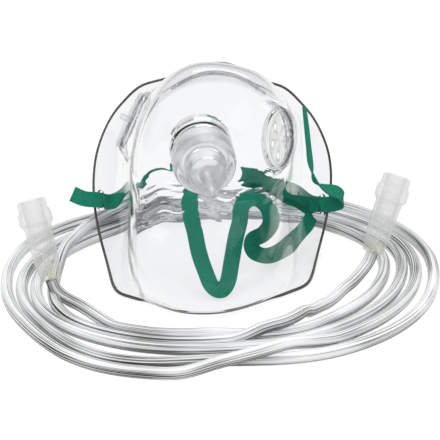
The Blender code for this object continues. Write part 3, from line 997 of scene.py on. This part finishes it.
    def peg_places(self, steps: int = 40) -> list[Matrix]:
        """Where the two pegs that hold the nose strip stand.

        Args:
            steps: How many pieces the strip's line is split into.

        Returns:
            The left peg's place and the right one's.
        """
        line = self.clip_line(steps)
        reach = round(steps * self.clip_end / self.clip_spread)
        return [along_axis(line[reach]), along_axis(line[-1 - reach])]

    def slot_place(self, at: Place, side: int) -> Matrix:
        """Where a strap slot lies on the flange, with +X along the rim.

        Args:
            at: A point near the slot.
            side: 1 for the right slot and -1 for the left one.

        Returns:
            The slot's place.
        """
        seat = self.nearest(self.place(at))
        rows = STATIONS[self.slot_row - 1], STATIONS[self.slot_row + 1]
        below, above = (self.settle(side * s.rim_x, s.rim_u, s.rim_w) for s in rows)
        z = seat.axis
        x = above - below
        x = (x - z * x.dot(z)).normalized()
        return Matrix.Translation(seat.point) @ Matrix((x, z.cross(x), z)).transposed().to_4x4()

    def slot_tool(self, bm: bmesh.types.BMesh, place: Matrix) -> None:
        """A slot with round ends, through the flange.

        Args:
            bm: The tool's mesh.
            place: Where the slot lies.
        """
        half, radius, depth = self.slot_length / 2, self.slot_width / 2, self.wall * 3
        outline = []
        for i in range(self.few_sides):
            angle = math.tau * (i + 0.5) / self.few_sides
            end = math.copysign(half - radius, math.cos(angle))
            outline.append((end + radius * math.cos(angle), radius * math.sin(angle)))
        rings = [[place @ point((x, y, z)) for x, y in outline] for z in (-depth, depth)]
        sweep(bm, rings)

    def mould(self, shell: bpy.types.Object) -> None:
        """Mould the port, the vents' openings, the strap slots and the clip pegs on the shell.

        Args:
            shell: The walled skin.
        """
        port = along_axis(self.port_seat())
        vents = [along_axis(seat) for seat in self.vent_seats()]
        outer, bore, lip = self.port_outer / 2, self.port_bore / 2, self.lip
        added = bmesh.new()
        lathe(added, [(0, -self.port_root), (outer, -self.port_root), (outer, self.port_length - lip),
                      (outer - lip, self.port_length), (0, self.port_length)], port, self.sides)
        cut(shell, added, Cut.JOIN)

        removed = bmesh.new()
        lathe(removed, [(0, -3 * self.port_root), (bore, -3 * self.port_root),
                        (bore, 2 * self.port_length), (0, 2 * self.port_length)], port, self.sides)
        edge, depth = self.vent_diameter / 2 - self.vent_ring / 2, 4 * self.wall
        for place in vents:
            lathe(removed, [(0, -depth), (edge, -depth), (edge, depth), (0, depth)], place, self.sides)
        for at, side in zip(self.slot_at, (1, -1)):
            self.slot_tool(removed, self.slot_place(at, side))
        cut(shell, removed, Cut.REMOVE)

        pegs = bmesh.new()
        base = self.clip_lift + self.clip_thickness + self.peg_gap
        peg, head, top = self.peg / 2, self.peg_head / 2, base + self.peg_head_height
        under, lip = self.peg_under, self.peg_lip
        for place in self.peg_places():
            lathe(pegs, [(0, -self.wall / 2), (peg, -self.wall / 2), (peg, base), (head - under, base),
                         (head, base + under), (head, top - lip), (head - lip, top), (0, top)],
                  place, self.few_sides)
        cut(shell, pegs, Cut.JOIN)

    def make_vent(self, place: Matrix, name: str) -> bpy.types.Object:
        """One vent's ring, its face with a circle of holes, and its pin.

        Args:
            place: Where the vent sits.
            name: The piece's name.

        Returns:
            The vent.
        """
        lip, edge, pin = self.lip, self.vent_diameter / 2, self.vent_pin / 2
        inner, face = edge - self.vent_ring, self.vent_rise - self.vent_sink
        root, back, top = -self.wall - self.vent_root, face - self.vent_face, face + self.vent_pin_length
        bm = bmesh.new()
        lathe(bm, [(0, back), (inner, back), (inner, root), (edge, root), (edge, self.vent_rise - lip),
                   (edge - lip, self.vent_rise), (inner + lip, self.vent_rise),
                   (inner, self.vent_rise - lip), (inner, face), (pin + lip, face), (pin, face + lip),
                   (pin, top - lip), (pin - lip, top), (0, top)], place, self.sides)
        vent = link(name, finish_mesh(bm, name))
        holes = bmesh.new()
        low, high = -2 * self.wall, 2 * self.vent_rise
        for i in range(self.vent_holes):
            turn = Matrix.Rotation(math.tau * i / self.vent_holes, 4, "Z")
            hole = place @ turn @ Matrix.Translation(point((self.vent_hole_radius, 0, 0)))
            lathe(holes, [(0, low), (self.vent_hole / 2, low), (self.vent_hole / 2, high), (0, high)],
                  hole, self.few_sides)
        cut(vent, holes, Cut.REMOVE)
        return vent

    def crumple(self, mesh: bpy.types.Mesh) -> None:
        """Press the soft folds into the skin where the nose chamber steps down to the chin.

        Args:
            mesh: The skin's mesh.
        """
        mesh.update()
        for vertex in mesh.vertices:
            x, y, z = (vertex.co - self.offset) / MM
            if y > self.fold_behind:
                continue
            across = (x - self.fold_at[0]) / self.fold_reach[0]
            up = (z - self.fold_at[1] + self.fold_bow * across * across) / self.fold_reach[1]
            share = math.exp(-across ** 4 - up * up)
            bend = sum(depth * math.sin(x / run) for depth, run in self.fold_bends)
            phase = math.tau * (z + bend) / self.fold_pitch
            fine = math.sin(self.fold_finer * phase + x / self.fold_fine_run)
            wave = math.sin(phase) + self.fold_fine_depth * fine
            vertex.co += vertex.normal * share * self.fold_depth * wave * MM

    def rim_loop(self, skin: bpy.types.Object) -> list[Seat]:
        """The skin's border in order, with its normals.

        Args:
            skin: The skin, before it has a wall.

        Returns:
            The border's points, once round.
        """
        bm = bmesh.new()
        bm.from_mesh(skin.data)
        bm.normal_update()
        edges = [e for e in bm.edges if e.is_boundary]
        vert, edge = edges[0].verts[0], edges[0]
        loop = []
        for _ in range(len(edges)):
            loop.append(Seat(vert.co.copy(), vert.normal.copy()))
            vert = edge.other_vert(vert)
            edge = next(e for e in vert.link_edges if e.is_boundary and e is not edge)
        bm.free()
        return loop

    def make_rim(self, loop: Sequence[Seat]) -> bpy.types.Mesh:
        """The rounded edge that runs right round the flange.

        Args:
            loop: The skin's border.

        Returns:
            The edge's mesh.
        """
        middle = [seat.point - seat.axis * self.wall / 2 * MM for seat in loop]
        rings = []
        for i, seat in enumerate(loop):
            forward = (middle[(i + 1) % len(loop)] - middle[i - 1]).normalized()
            out = forward.cross(seat.axis).normalized()
            ring = []
            for k in range(self.rim_sides):
                angle = math.tau * k / self.rim_sides
                away = seat.axis * math.cos(angle) + out * math.sin(angle)
                spot = middle[i] + away * self.rim_radius * MM
                spot.z = max(spot.z, 0.0)
                ring.append(spot)
            rings.append(ring)
        bm = bmesh.new()
        sweep(bm, rings + rings[:1], capped=False)
        bmesh.ops.remove_doubles(bm, verts=bm.verts, dist=0.001 * MM)
        return finish_mesh(bm, "mask_rim", self.rim_sharp)

    def build(self, vinyl: bpy.types.Material, edge: bpy.types.Material,
              thin: bpy.types.Material) -> None:
        """Model and dress the mask body, its rim and its two vents.

        Args:
            vinyl: The body's finish.
            edge: The rim's finish, a near-black painted shade.
            thin: The vents' finish.
        """
        self.find_offset()
        skin = self.skin(self.level)
        skin.data.transform(Matrix.Translation(self.offset))
        graph = bpy.context.evaluated_depsgraph_get()
        graph.update()
        self.tree = BVHTree.FromObject(skin, graph)
        loop = self.rim_loop(skin)
        self.press_flat(skin.data, self.port_seat(), self.port_outer / 2, self.port_blend)
        for seat in self.vent_seats():
            self.press_flat(skin.data, seat, self.vent_diameter / 2, self.vent_blend)
        vents = [along_axis(seat) for seat in self.vent_seats()]
        self.crumple(skin.data)
        self.add_wall(skin)
        apply_modifiers(skin)
        self.mould(skin)
        skin.data.shade_smooth()
        skin.data.set_sharp_from_angle(angle=math.radians(self.sharp))
        dress(skin, vinyl, Slot.SHELL, "mask_shell")
        dress(link("mask_rim", self.make_rim(loop)), edge, Slot.SHELL)
        for place, side in zip(vents, ("right", "left")):
            dress(self.make_vent(place, f"vent_{side}"), thin, Slot.SHELL)


@dataclass
class NoseClip:
    """The soft metal strip bent over the nose bridge, with shares of its half sizes as its outline."""

    body: MaskBody
    width: float = 5.0
    end_rounding: float = 0.9
    hole_gap: float = 0.3
    outline: tuple[Pair, ...] = ((-1, -0.5), (-0.9, -1), (0.9, -1), (1, -0.5),
                                 (1, 0.5), (0.9, 1), (-0.9, 1), (-1, 0.5))
    steps: int = 40
    sides: int = 24
    sharp: float = 35.0

    def build(self, metal: bpy.types.Material) -> None:
        """Model and dress the strip.

        Args:
            metal: Its finish.
        """
        seats, thickness = self.body.clip_line(self.steps), self.body.clip_thickness
        middle = [seat.point + seat.axis * (self.body.clip_lift + thickness / 2) * MM for seat in seats]
        rings = []
        for i, (seat, forward) in enumerate(zip(seats, tangents(middle))):
            across = seat.axis.cross(forward).normalized()
            up = forward.cross(across)
            end = min(i, self.steps - i) * self.body.clip_spread / self.steps
            short = 1 - min(end / (self.width / 2), 1)
            half = self.width / 2 * math.sqrt(1 - short ** 2 * self.end_rounding)
            rings.append([middle[i] + (across * a * half + up * b * thickness / 2) * MM
                          for a, b in self.outline])
        bm = bmesh.new()
        sweep(bm, rings)
        strip = link("nose_strip", finish_mesh(bm, "nose_strip", self.sharp))
        holes = bmesh.new()
        radius, depth = self.body.peg / 2 + self.hole_gap, 4 * thickness
        for place in self.body.peg_places():
            lathe(holes, [(0, -depth), (radius, -depth), (radius, depth), (0, depth)], place, self.sides)
        cut(strip, holes, Cut.REMOVE)
        dress(strip, metal, Slot.CLIP, "nose_clip")


@dataclass
class PortConnector:
    """The stepped connector pressed into the port, with the nipple that tubing pushes onto."""

    body: MaskBody
    gap: float = 0.3
    spigot_length: float = 8.0
    hood_length: float = 12.5
    barrel: float = 18.0
    barrel_length: float = 9.5
    wall: float = 1.6
    nipple: float = 5.5
    nipple_length: float = 23.0
    bore: float = 2.6
    sides: int = 72
    sharp: float = 30.0

    def profile(self) -> list[tuple[float, float]]:
        """The turned outline from the spigot's inside, over the outside, and back up the bore.

        Returns:
            Radius and height of each corner, in millimetres.
        """
        spigot = self.body.port_bore / 2 - self.gap
        hood, barrel, nipple = self.body.port_outer / 2, self.barrel / 2, self.nipple / 2
        seat = self.body.port_length + self.gap
        shoulder = seat + self.hood_length
        cap = shoulder + self.barrel_length
        tip = cap + self.nipple_length
        inner = barrel - self.wall
        return [
            (spigot - self.wall, seat - self.spigot_length), (spigot - 0.4, seat - self.spigot_length),
            (spigot, seat - self.spigot_length + 1), (spigot, seat), (hood - 0.3, seat), (hood, seat + 0.3),
            (hood, shoulder - 3), (hood - 0.25, shoulder - 1.7), (hood - 0.9, shoulder - 0.7),
            (hood - 2.2, shoulder), (barrel + 0.9, shoulder + 0.1), (barrel + 0.25, shoulder + 0.4),
            (barrel, shoulder + 1.2), (barrel, cap - 3), (barrel - 0.35, cap - 1.6),
            (barrel - 1.1, cap - 0.6), (barrel - 2.6, cap), (nipple + 1.8, cap),
            (nipple + 0.9, cap + 0.4), (nipple + 0.3, cap + 1.4),
            (nipple, cap + 3.5), (nipple, tip - 5), (nipple + 0.4, tip - 4.6), (nipple + 0.3, tip - 4.2),
            (nipple - 0.5, tip), (self.bore / 2, tip), (self.bore / 2, cap - self.wall),
            (inner - 2, cap - self.wall), (inner - 0.6, cap - self.wall - 0.6), (inner, cap - self.wall - 2),
            (inner, shoulder - self.wall), (spigot - self.wall, shoulder - self.wall),
        ]

    def build(self, plastic: bpy.types.Material) -> None:
        """Model and dress the connector.

        Args:
            plastic: Its finish.
        """
        bm = bmesh.new()
        lathe(bm, self.profile(), along_axis(self.body.port_seat()), self.sides)
        made = link("stepped_connector", finish_mesh(bm, "stepped_connector", self.sharp))
        dress(made, plastic, Slot.CONNECTOR, "port_connector")


# The elastic strap: points on its centre line, and the way its width runs there
STRAP_ROUTE = (
    ((-64.5, 80, 25), (0.2, 0.5, 0.85)),
    ((-59, 79, 23), (0.0, 0.55, 0.83)),
    ((-52.5, 82.4, 21), (0.0, 0.55, 0.83)),
    ((-47, 87.5, 18), (0.0, 0.62, 0.78)),
    ((-42, 89, 20), (0.0, 0.8, 0.6)),
    ((-36, 87, 26), (0.0, 0.95, 0.3)),
    ((-28, 83, 35), (0.0, 0.95, -0.3)),
    ((-16, 73, 41), (0.3, 0.9, -0.3)),
    ((-10, 62, 40), (0.9, 0.4, 0.0)),
    ((-10, 52, 35), (1.0, 0.0, 0.0)),
    ((-10, 46, 29), (1.0, 0.0, 0.0)),
    ((-8, 41, 22), (1.0, 0.0, 0.0)),
    ((-6, 35, 14), (1.0, 0.0, 0.0)),
    ((-3, 27, 8), (1.0, 0.2, 0.0)),
    ((-0.4, 19.5, 5), (0.8, 0.5, 0.3)),
    ((3.4, 16.5, 4), (0.0, 0.69, 0.66)),
    ((6.6, 21.5, 6), (-0.9, 0.3, 0.3)),
    ((8.4, 28, 13), (-1.0, 0.0, 0.0)),
    ((10.2, 33, 22), (-1.0, 0.0, 0.0)),
    ((12, 38, 28), (-1.0, 0.0, 0.0)),
    ((13, 43, 33), (-0.7, 0.5, 0.5)),
    ((18, 48, 35), (0.0, 0.69, 0.66)),
    ((24, 49, 31), (0.8, 0.4, 0.4)),
    ((26, 47, 24), (1.0, 0.0, 0.0)),
    ((23, 48, 18), (0.6, -0.5, -0.5)),
    ((18, 50, 14), (0.6, -0.5, -0.5)),
    ((19, 49, 9), (1.0, 0.2, 0.2)),
    ((25, 49, 7), (0.2, 0.7, 0.68)),
    ((32, 57, 7), (-0.5, 0.6, 0.6)),
    ((38, 70, 8), (-0.6, 0.5, 0.6)),
    ((44, 82, 10), (-0.4, 0.5, 0.7)),
    ((45, 87, 14), (0.3, 0.4, 0.85)),
    ((38, 87, 19), (0.2, 0.3, 0.9)),
    ((27, 82, 28), (0.1, 0.3, 0.95)),
    ((17, 78, 32), (0.0, 0.3, 0.95)),
    ((14, 76, 35), (0.0, 0.1, 1.0)),
    ((17, 73, 37), (0.0, -0.2, 0.95)),
    ((28, 78, 31), (-0.1, -0.1, 1.0)),
    ((39, 84, 23), (-0.1, 0.2, 0.95)),
    ((46, 91, 16), (0.0, 0.55, 0.83)),
    ((51, 88.5, 16.3), (0.0, 0.55, 0.83)),
    ((56.5, 85, 18), (0.0, 0.55, 0.83)),
    ((60, 82, 21), (0.0, 0.59, 0.81)),
    ((58, 81, 25), (-0.2, 0.7, 0.7)),
    ((52, 78, 28), (-0.4, 0.8, 0.4)),
    ((47, 78, 32), (-0.3, 0.93, -0.2)),
    ((45, 81, 39), (0.3, 0.9, -0.3)),
    ((44, 84, 47), (0.3, 0.88, -0.36)),
    ((43, 87, 56), (0.28, 0.88, -0.38)),
    ((42, 90, 64), (0.2, 0.9, -0.38)),
)


@dataclass
class HeadStrap:
    """The flat woven elastic, folded inside the mask and drawn through both slots."""

    body: MaskBody
    width: float = 7.2
    thickness: float = 0.9
    ribs: int = 8
    rib_depth: float = 0.16
    rib_steps: int = 4
    steps: int = 10
    sharp: float = 60.0

    def outline(self) -> list[tuple[float, float]]:
        """The ribbed section of the elastic.

        Returns:
            Each corner's place across, from -1 to 1, and its height in millimetres.
        """
        top = []
        count = self.ribs * self.rib_steps
        for i in range(count + 1):
            across = 2 * i / count - 1
            rib = self.rib_depth * (0.5 + 0.5 * math.cos(math.tau * self.ribs * (across + 1) / 2))
            top.append((across, self.thickness / 2 - rib))
        return top + [(across, -up) for across, up in reversed(top)]

    def build(self, cloth: bpy.types.Material) -> None:
        """Model and dress the strap.

        Args:
            cloth: Its finish.
        """
        path = smooth([self.body.place(p) for p, _ in STRAP_ROUTE], self.steps)
        widths = smooth([Vector(w) for _, w in STRAP_ROUTE], self.steps)
        outline = self.outline()
        rings, runs = [], []
        run = 0.0
        for i, (spot, forward) in enumerate(zip(path, tangents(path))):
            run += (spot - path[i - 1]).length if i else 0.0
            across = (widths[i] - forward * widths[i].dot(forward)).normalized()
            up = forward.cross(across)
            rings.append([spot + (across * a * self.width / 2 + up * u) * MM for a, u in outline])
            runs += [run] * len(outline)
        bm = bmesh.new()
        sweep(bm, rings)
        mesh = finish_mesh(bm, "head_strap", self.sharp)
        mesh.attributes.new("along", "FLOAT", "POINT").data.foreach_set("value", runs)
        dress(link("head_strap", mesh), cloth, Slot.STRAP, "elastic_strap")


# The tubing's coil: how far each turn lies from the middle at every twelfth of a turn,
# counted from the front, and the stretches where it rides over a lower turn
TURNS = (
    (54.0, 60.0, 62.5, 71.0, 82.5, 86.0, 84.0, 79.5, 79.5, 81.0, 81.0, 75.0),
    (68.5, 68.0, 71.5, 79.5, 90.5, 93.0, 90.5, 86.5, 87.0, 87.5, 87.5, 91.0),
    (80.0, 85.5, 89.8, 94.8, 104.0, 110.0, 103.0, 98.0, 99.0, 94.5, 94.0, 99.0),
    (90.5, 77.5, 79.0, 86.5, 95.8, 99.0, 96.5, 89.5, 77.5, 73.5, 75.0, 68.0),
)
HIGH_STRETCHES = ((996.0, 1010.0), (1190.0, 1236.0), (1370.0, 1388.0))


@dataclass
class SupplyTubing:
    """The clear hollow tube, from its left connector through the coil to its right one."""

    body: MaskBody
    diameter: float = 5.5
    lumen: float = 3.3
    lobes: int = 5
    lobe_depth: float = 0.3
    centre: Pair = (3.0, 27.0)
    front: float = -90.0
    start_knots: tuple[Pair, ...] = ((-120.0, 61.0), (-106.0, 57.0))
    end_knots: tuple[Pair, ...] = ((1350.0, 61.0), (1362.0, 62.0), (1374.0, 60.8), (1386.0, 57.0),
                                   (1396.0, 53.6))
    low: float = 2.8
    high: float = 8.3
    ramp: float = 18.0
    left_end: tuple[Place, ...] = (
        (-70.5, 12.5, 11.0), (-69.0, 12.4, 7.0), (-66.2, 11.4, 4.2), (-62.2, 8.2, 2.9),
        (-57.6, 3.0, 2.8), (-52.6, -4.2, 2.8), (-47.2, -12.4, 2.8), (-40.6, -20.6, 2.8))
    right_end: tuple[Place, ...] = (
        (46.6, -2.0, 4.7), (50.2, 5.0, 3.4), (53.6, 12.2, 2.8), (57.6, 20.6, 2.8),
        (62.2, 29.0, 2.9), (66.4, 35.6, 4.8), (69.6, 38.6, 8.2), (71.4, 39.0, 12.8))
    left_axis: Place = (-0.256, 0.398, 0.881)
    right_axis: Place = (0.307, 0.245, 0.920)
    coil_steps: int = 3
    steps: int = 8
    sides: int = 24
    # How fast the painted streaks of light and shade change along the tube
    streak_pace: float = 1.6
    sharp: float = 60.0

    def height(self, angle: float) -> float:
        """How high the tube lies at an angle counted on from the first turn's start.

        Args:
            angle: The angle in degrees.

        Returns:
            The height of the tube's middle, in millimetres.
        """
        lift = 0.0
        for first, last in HIGH_STRETCHES:
            lift = max(lift, ease(min(angle - first, last - angle) / self.ramp + 1.0))
        return self.low + (self.high - self.low) * lift

    def coil(self) -> list[Vector]:
        """The coil's points, from the tables of its turns.

        Returns:
            The points, in millimetres.
        """
        knots = list(self.start_knots)
        for number, turn in enumerate(TURNS):
            for step, radius in enumerate(turn):
                knots.append((self.front + 360.0 * (number + step / len(turn)), radius))
        knots += self.end_knots
        path = []
        for angle, radius, _ in smooth([Vector((*knot, 0.0)) for knot in knots], self.coil_steps):
            turn = math.radians(angle)
            path.append((self.centre[0] + radius * math.cos(turn),
                         self.centre[1] + radius * math.sin(turn), self.height(angle)))
        return path

    def path(self) -> list[Vector]:
        """The whole tube's centre line in the frame."""
        knots = [self.body.place(p) for p in (*self.left_end, *self.coil(), *self.right_end)]
        return smooth(knots, self.steps)

    def ring(self, spot: Vector, side: Vector, other: Vector, radius: float, lobe: float) -> list[Vector]:
        """One ring round the tube's middle.

        Args:
            spot: The middle.
            side: The direction of the ring's first point.
            other: The direction a quarter turn on.
            radius: The ring's mean radius, in millimetres.
            lobe: How far the star's lobes reach out and in from it.

        Returns:
            The ring's points.
        """
        points = []
        for k in range(self.sides):
            angle = math.tau * k / self.sides
            reach = (radius + lobe * math.cos(self.lobes * angle)) * MM
            points.append(spot + (side * math.cos(angle) + other * math.sin(angle)) * reach)
        return points

    def skin(self, bm: bmesh.types.BMesh, rings: Sequence[Sequence[Vector]], runs: Sequence[float]) -> None:
        """Close the rows of rings, and note at each corner where it lies round and along the tube.

        Args:
            bm: The mesh that the skin is added to.
            rings: The rings out along the tube and back inside it.
            runs: How far along the tube each ring lies, in metres.
        """
        # Each corner's place round and along the tube, which lays out the tubing's painted streaks of light
        # and shade
        round_and_along = bm.verts.layers.float_vector.new("round_and_along")
        rows = []
        for ring, run in zip(rings, runs):
            row = [bm.verts.new(p) for p in ring]
            for k, vert in enumerate(row):
                angle = math.tau * k / self.sides
                vert[round_and_along] = Vector((math.cos(angle), math.sin(angle), run * self.streak_pace))
            rows.append(row)
        for low, high in zip(rows, rows[1:] + rows[:1]):
            for i in range(self.sides):
                bm.faces.new((low[i - 1], low[i], high[i], high[i - 1]))

    def build(self, vinyl: bpy.types.Material, connectors: Sequence[bpy.types.Object]) -> None:
        """Args:
            vinyl: Its finish.
            connectors: The pieces on its two ends; not used.
        """
        path = self.path()
        length = sum((b - a).length for a, b in zip(path, path[1:]))
        outer, inner, runs = [], [], []
        side = Vector((0.0, 0.0, 1.0))
        run = 0.0
        for i, (spot, forward) in enumerate(zip(path, tangents(path))):
            run += (spot - path[i - 1]).length if i else 0.0
            side = (side - forward * side.dot(forward)).normalized()
            other = forward.cross(side)
            outer.append(self.ring(spot, side, other, self.diameter / 2, 0.0))
            inner.append(self.ring(spot, side, other, self.lumen / 2, self.lobe_depth))
            runs.append(run)
        bm = bmesh.new()
        self.skin(bm, outer + inner[::-1], runs + runs[::-1])
        tube = link("supply_tubing", finish_mesh(bm, "supply_tubing", self.sharp))
        dress(tube, vinyl, Slot.TUBING, "tubing_coil", "tubing_lead_left", "tubing_lead_right")
        log.info("supply tubing: %.3f m", length)


@dataclass
class EndConnector:
    """The flared connector on one end of the tubing."""

    body: MaskBody
    side: str
    start: Place
    axis: Place
    length: float = 36.0
    barrel: float = 12.0
    tail: float = 9.2
    collar: float = 15.0
    socket: float = 9.4
    socket_depth: float = 23.0
    bore: float = 2.8
    yellow_to: float = 10.0
    sides: int = 56
    sharp: float = 30.0

    def profile(self) -> list[tuple[float, float]]:
        """The turned outline, from the tail's bore over the outside and down the socket.

        Returns:
            Radius and height of each corner, in millimetres.
        """
        body, collar, tail, socket = self.barrel / 2, self.collar / 2, self.tail / 2, self.socket / 2
        floor = self.length - self.socket_depth
        return [
            (self.bore / 2, 0), (tail - 0.6, 0), (tail - 0.15, 0.2), (tail, 0.7), (tail + 0.5, 5),
            (body - 0.3, 9), (body, 23), (body + 0.3, 24), (collar - 0.5, 25), (collar - 0.1, 25.5),
            (collar, 26.2), (collar, 29.6), (collar - 0.15, 30.4), (collar - 0.6, 31), (body + 0.6, 31.5),
            (body + 0.4, 32), (body + 0.4, self.length - 1), (body + 0.15, self.length - 0.3),
            (body - 0.4, self.length), (socket + 0.4, self.length), (socket + 0.1, self.length - 0.3),
            (socket, self.length - 1), (socket - 0.2, floor + 3), (socket - 0.8, floor + 1),
            (self.bore / 2, floor),
        ]

    def build(self, vinyl: bpy.types.Material) -> bpy.types.Object:
        """Model and dress the connector, and hand it back for the tubing.

        Args:
            vinyl: Its finish.

        Returns:
            The connector.
        """
        name = f"end_connector_{self.side}"
        seat = Seat(self.body.place(self.start), Vector(self.axis).normalized())
        place = along_axis(seat)
        bm = bmesh.new()
        lathe(bm, self.profile(), place, self.sides)
        mesh = finish_mesh(bm, name, self.sharp)
        layer = mesh.attributes.new("tail", "FLOAT", "POINT")
        down = place.inverted()
        shares = [1.0 - ease((down @ v.co).z / MM / self.yellow_to) for v in mesh.vertices]
        layer.data.foreach_set("value", shares)
        return dress(link(name, mesh), vinyl, Slot.END, f"tubing_connector_{self.side}")


# The studio


class Lamp(NamedTuple):
    """A soft square lamp, with its place and width in metres and its power in watts."""

    name: str
    place: Place
    width: float
    power: float


LAMPS = (
    Lamp("key", (-0.5, -0.5, 0.9), 0.5, 5.0),
    Lamp("fill", (0.7, -0.2, 0.7), 0.6, 2.5),
    Lamp("back", (0.1, 0.9, 0.8), 0.7, 3.0),
)


@dataclass
class Studio:
    """White table, soft lamps, dark cards at both sides for the clear pieces, and the camera."""

    body: MaskBody
    card_at: tuple[Place, Place] = ((-0.55, 0.05, 0.16), (0.55, 0.05, 0.16))
    card_size: Pair = (0.8, 0.34)
    table_size: float = 3.0
    aim: Place = (0.0, 0.0, 0.04)
    bounces: int = 40
    # The camera, whose distance is in millimetres
    distance: float = 1100.0
    elevation: float = math.radians(24.0)
    drop: float = math.radians(21.87)
    turn: float = math.radians(0.18)
    lens: float = 207.0
    sensor: float = 36.0
    sees_from: float = 0.05
    sees_to: float = 20.0
    # How bright the white surrounding is as a lamp, and in reflections
    ambient: float = 0.62
    mirrored: float = 0.6

    def camera(self) -> None:
        """Look at the mask as the photograph does."""
        data = bpy.data.cameras.new("camera")
        data.lens = self.lens
        data.sensor_width = self.sensor
        data.clip_start = self.sees_from
        data.clip_end = self.sees_to
        made = bpy.data.objects.new("camera", data)
        bpy.context.collection.objects.link(made)
        made.location = self.body.place((0.0, -self.distance * math.cos(self.elevation),
                                         self.distance * math.sin(self.elevation)))
        made.rotation_euler = (math.pi / 2 - self.drop, 0.0, -self.turn)
        bpy.context.scene.camera = made

    def world(self) -> None:
        """An even white surrounding, dimmer as a lamp and in reflections than it looks."""
        world = bpy.data.worlds.new("surrounding")
        bpy.context.scene.world = world
        world.use_nodes = True
        tree = world.node_tree
        tree.nodes.clear()
        path = tree.nodes.new("ShaderNodeLightPath")
        output = tree.nodes.new("ShaderNodeOutputWorld")
        seen = self.background(tree, 1.0)
        for kind, strength in (("Diffuse", self.ambient), ("Glossy", self.mirrored)):
            mixed = tree.nodes.new("ShaderNodeMixShader")
            tree.links.new(path.outputs[f"Is {kind} Ray"], mixed.inputs[0])
            tree.links.new(seen.outputs[0], mixed.inputs[1])
            tree.links.new(self.background(tree, strength).outputs[0], mixed.inputs[2])
            seen = mixed
        tree.links.new(seen.outputs[0], output.inputs["Surface"])

    @staticmethod
    def background(tree: bpy.types.NodeTree, strength: float) -> bpy.types.Node:
        """A white background of one strength.

        Args:
            tree: The world's nodes.
            strength: How bright it is.

        Returns:
            The background's node.
        """
        made = tree.nodes.new("ShaderNodeBackground")
        made.inputs["Color"].default_value = (1.0, 1.0, 1.0, 1.0)
        made.inputs["Strength"].default_value = strength
        return made

    def hang(self, lamp: Lamp) -> None:
        """Hang a lamp that points at the mask.

        Args:
            lamp: The lamp.
        """
        data = bpy.data.lights.new(lamp.name, "AREA")
        data.energy = lamp.power
        data.size = lamp.width
        made = bpy.data.objects.new(lamp.name, data)
        bpy.context.collection.objects.link(made)
        made.location = lamp.place
        made.visible_glossy = False
        aim = Vector(self.aim) - Vector(lamp.place)
        made.rotation_euler = aim.to_track_quat("-Z", "Y").to_euler()

    def card(self, name: str, place: Place) -> None:
        """A dark card that only clear and shiny pieces see.

        Args:
            name: The card's name.
            place: Where its middle is, in metres.
        """
        bm = bmesh.new()
        bmesh.ops.create_grid(bm, x_segments=1, y_segments=1, size=0.5)
        aim = Vector(self.aim) - Vector(place)
        turn = aim.to_track_quat("Z", "Y").to_matrix().to_4x4()
        stretch = Matrix.Diagonal((*self.card_size, 1.0, 1.0))
        bmesh.ops.transform(bm, matrix=Matrix.Translation(place) @ turn @ stretch, verts=bm.verts)
        made = link(name, finish_mesh(bm, name))
        made.data.materials.append(DarkCard(name).make())
        made.visible_camera = False
        made.visible_diffuse = False
        made.visible_shadow = False

    def build(self) -> None:
        """Set the table, the lamps, the cards and the camera."""
        self.camera()
        self.world()
        bm = bmesh.new()
        bmesh.ops.create_grid(bm, x_segments=1, y_segments=1, size=self.table_size)
        table = link("table", finish_mesh(bm, "table"))
        table.data.materials.append(PaleTable().make())
        for lamp in LAMPS:
            self.hang(lamp)
        for name, place in zip(("left_card", "right_card"), self.card_at):
            self.card(name, place)
        scene = bpy.context.scene
        scene.view_settings.view_transform = "Standard"
        scene.cycles.max_bounces = self.bounces
        scene.cycles.transmission_bounces = self.bounces
        scene.cycles.transparent_max_bounces = self.bounces
        scene.cycles.caustics_refractive = False
        scene.cycles.caustics_reflective = False


def main() -> None:
    """Build the mask, its strap and its tubing in the studio."""
    logging.basicConfig(level=logging.INFO, format="%(name)s: %(message)s")
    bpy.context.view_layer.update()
    mask = MaskBody()
    mask.build(ClearVinyl().make(), PaintedShadeRim().make(), ThinVinyl().make())
    NoseClip(mask).build(SoftAluminium().make())
    PortConnector(mask).build(GreyClear().make())
    HeadStrap(mask).build(WovenElastic().make())
    tubing = SupplyTubing(mask)
    ends = [EndConnector(mask, "left", tubing.left_end[0], tubing.left_axis),
            EndConnector(mask, "right", tubing.right_end[-1], tubing.right_axis)]
    frosted = FrostedVinyl().make()
    connectors = [end.build(frosted) for end in ends]
    tubing.build(PaintedStreakTubing().make(), connectors)
    Studio(mask).build()


if __name__ == "__main__":
    main()
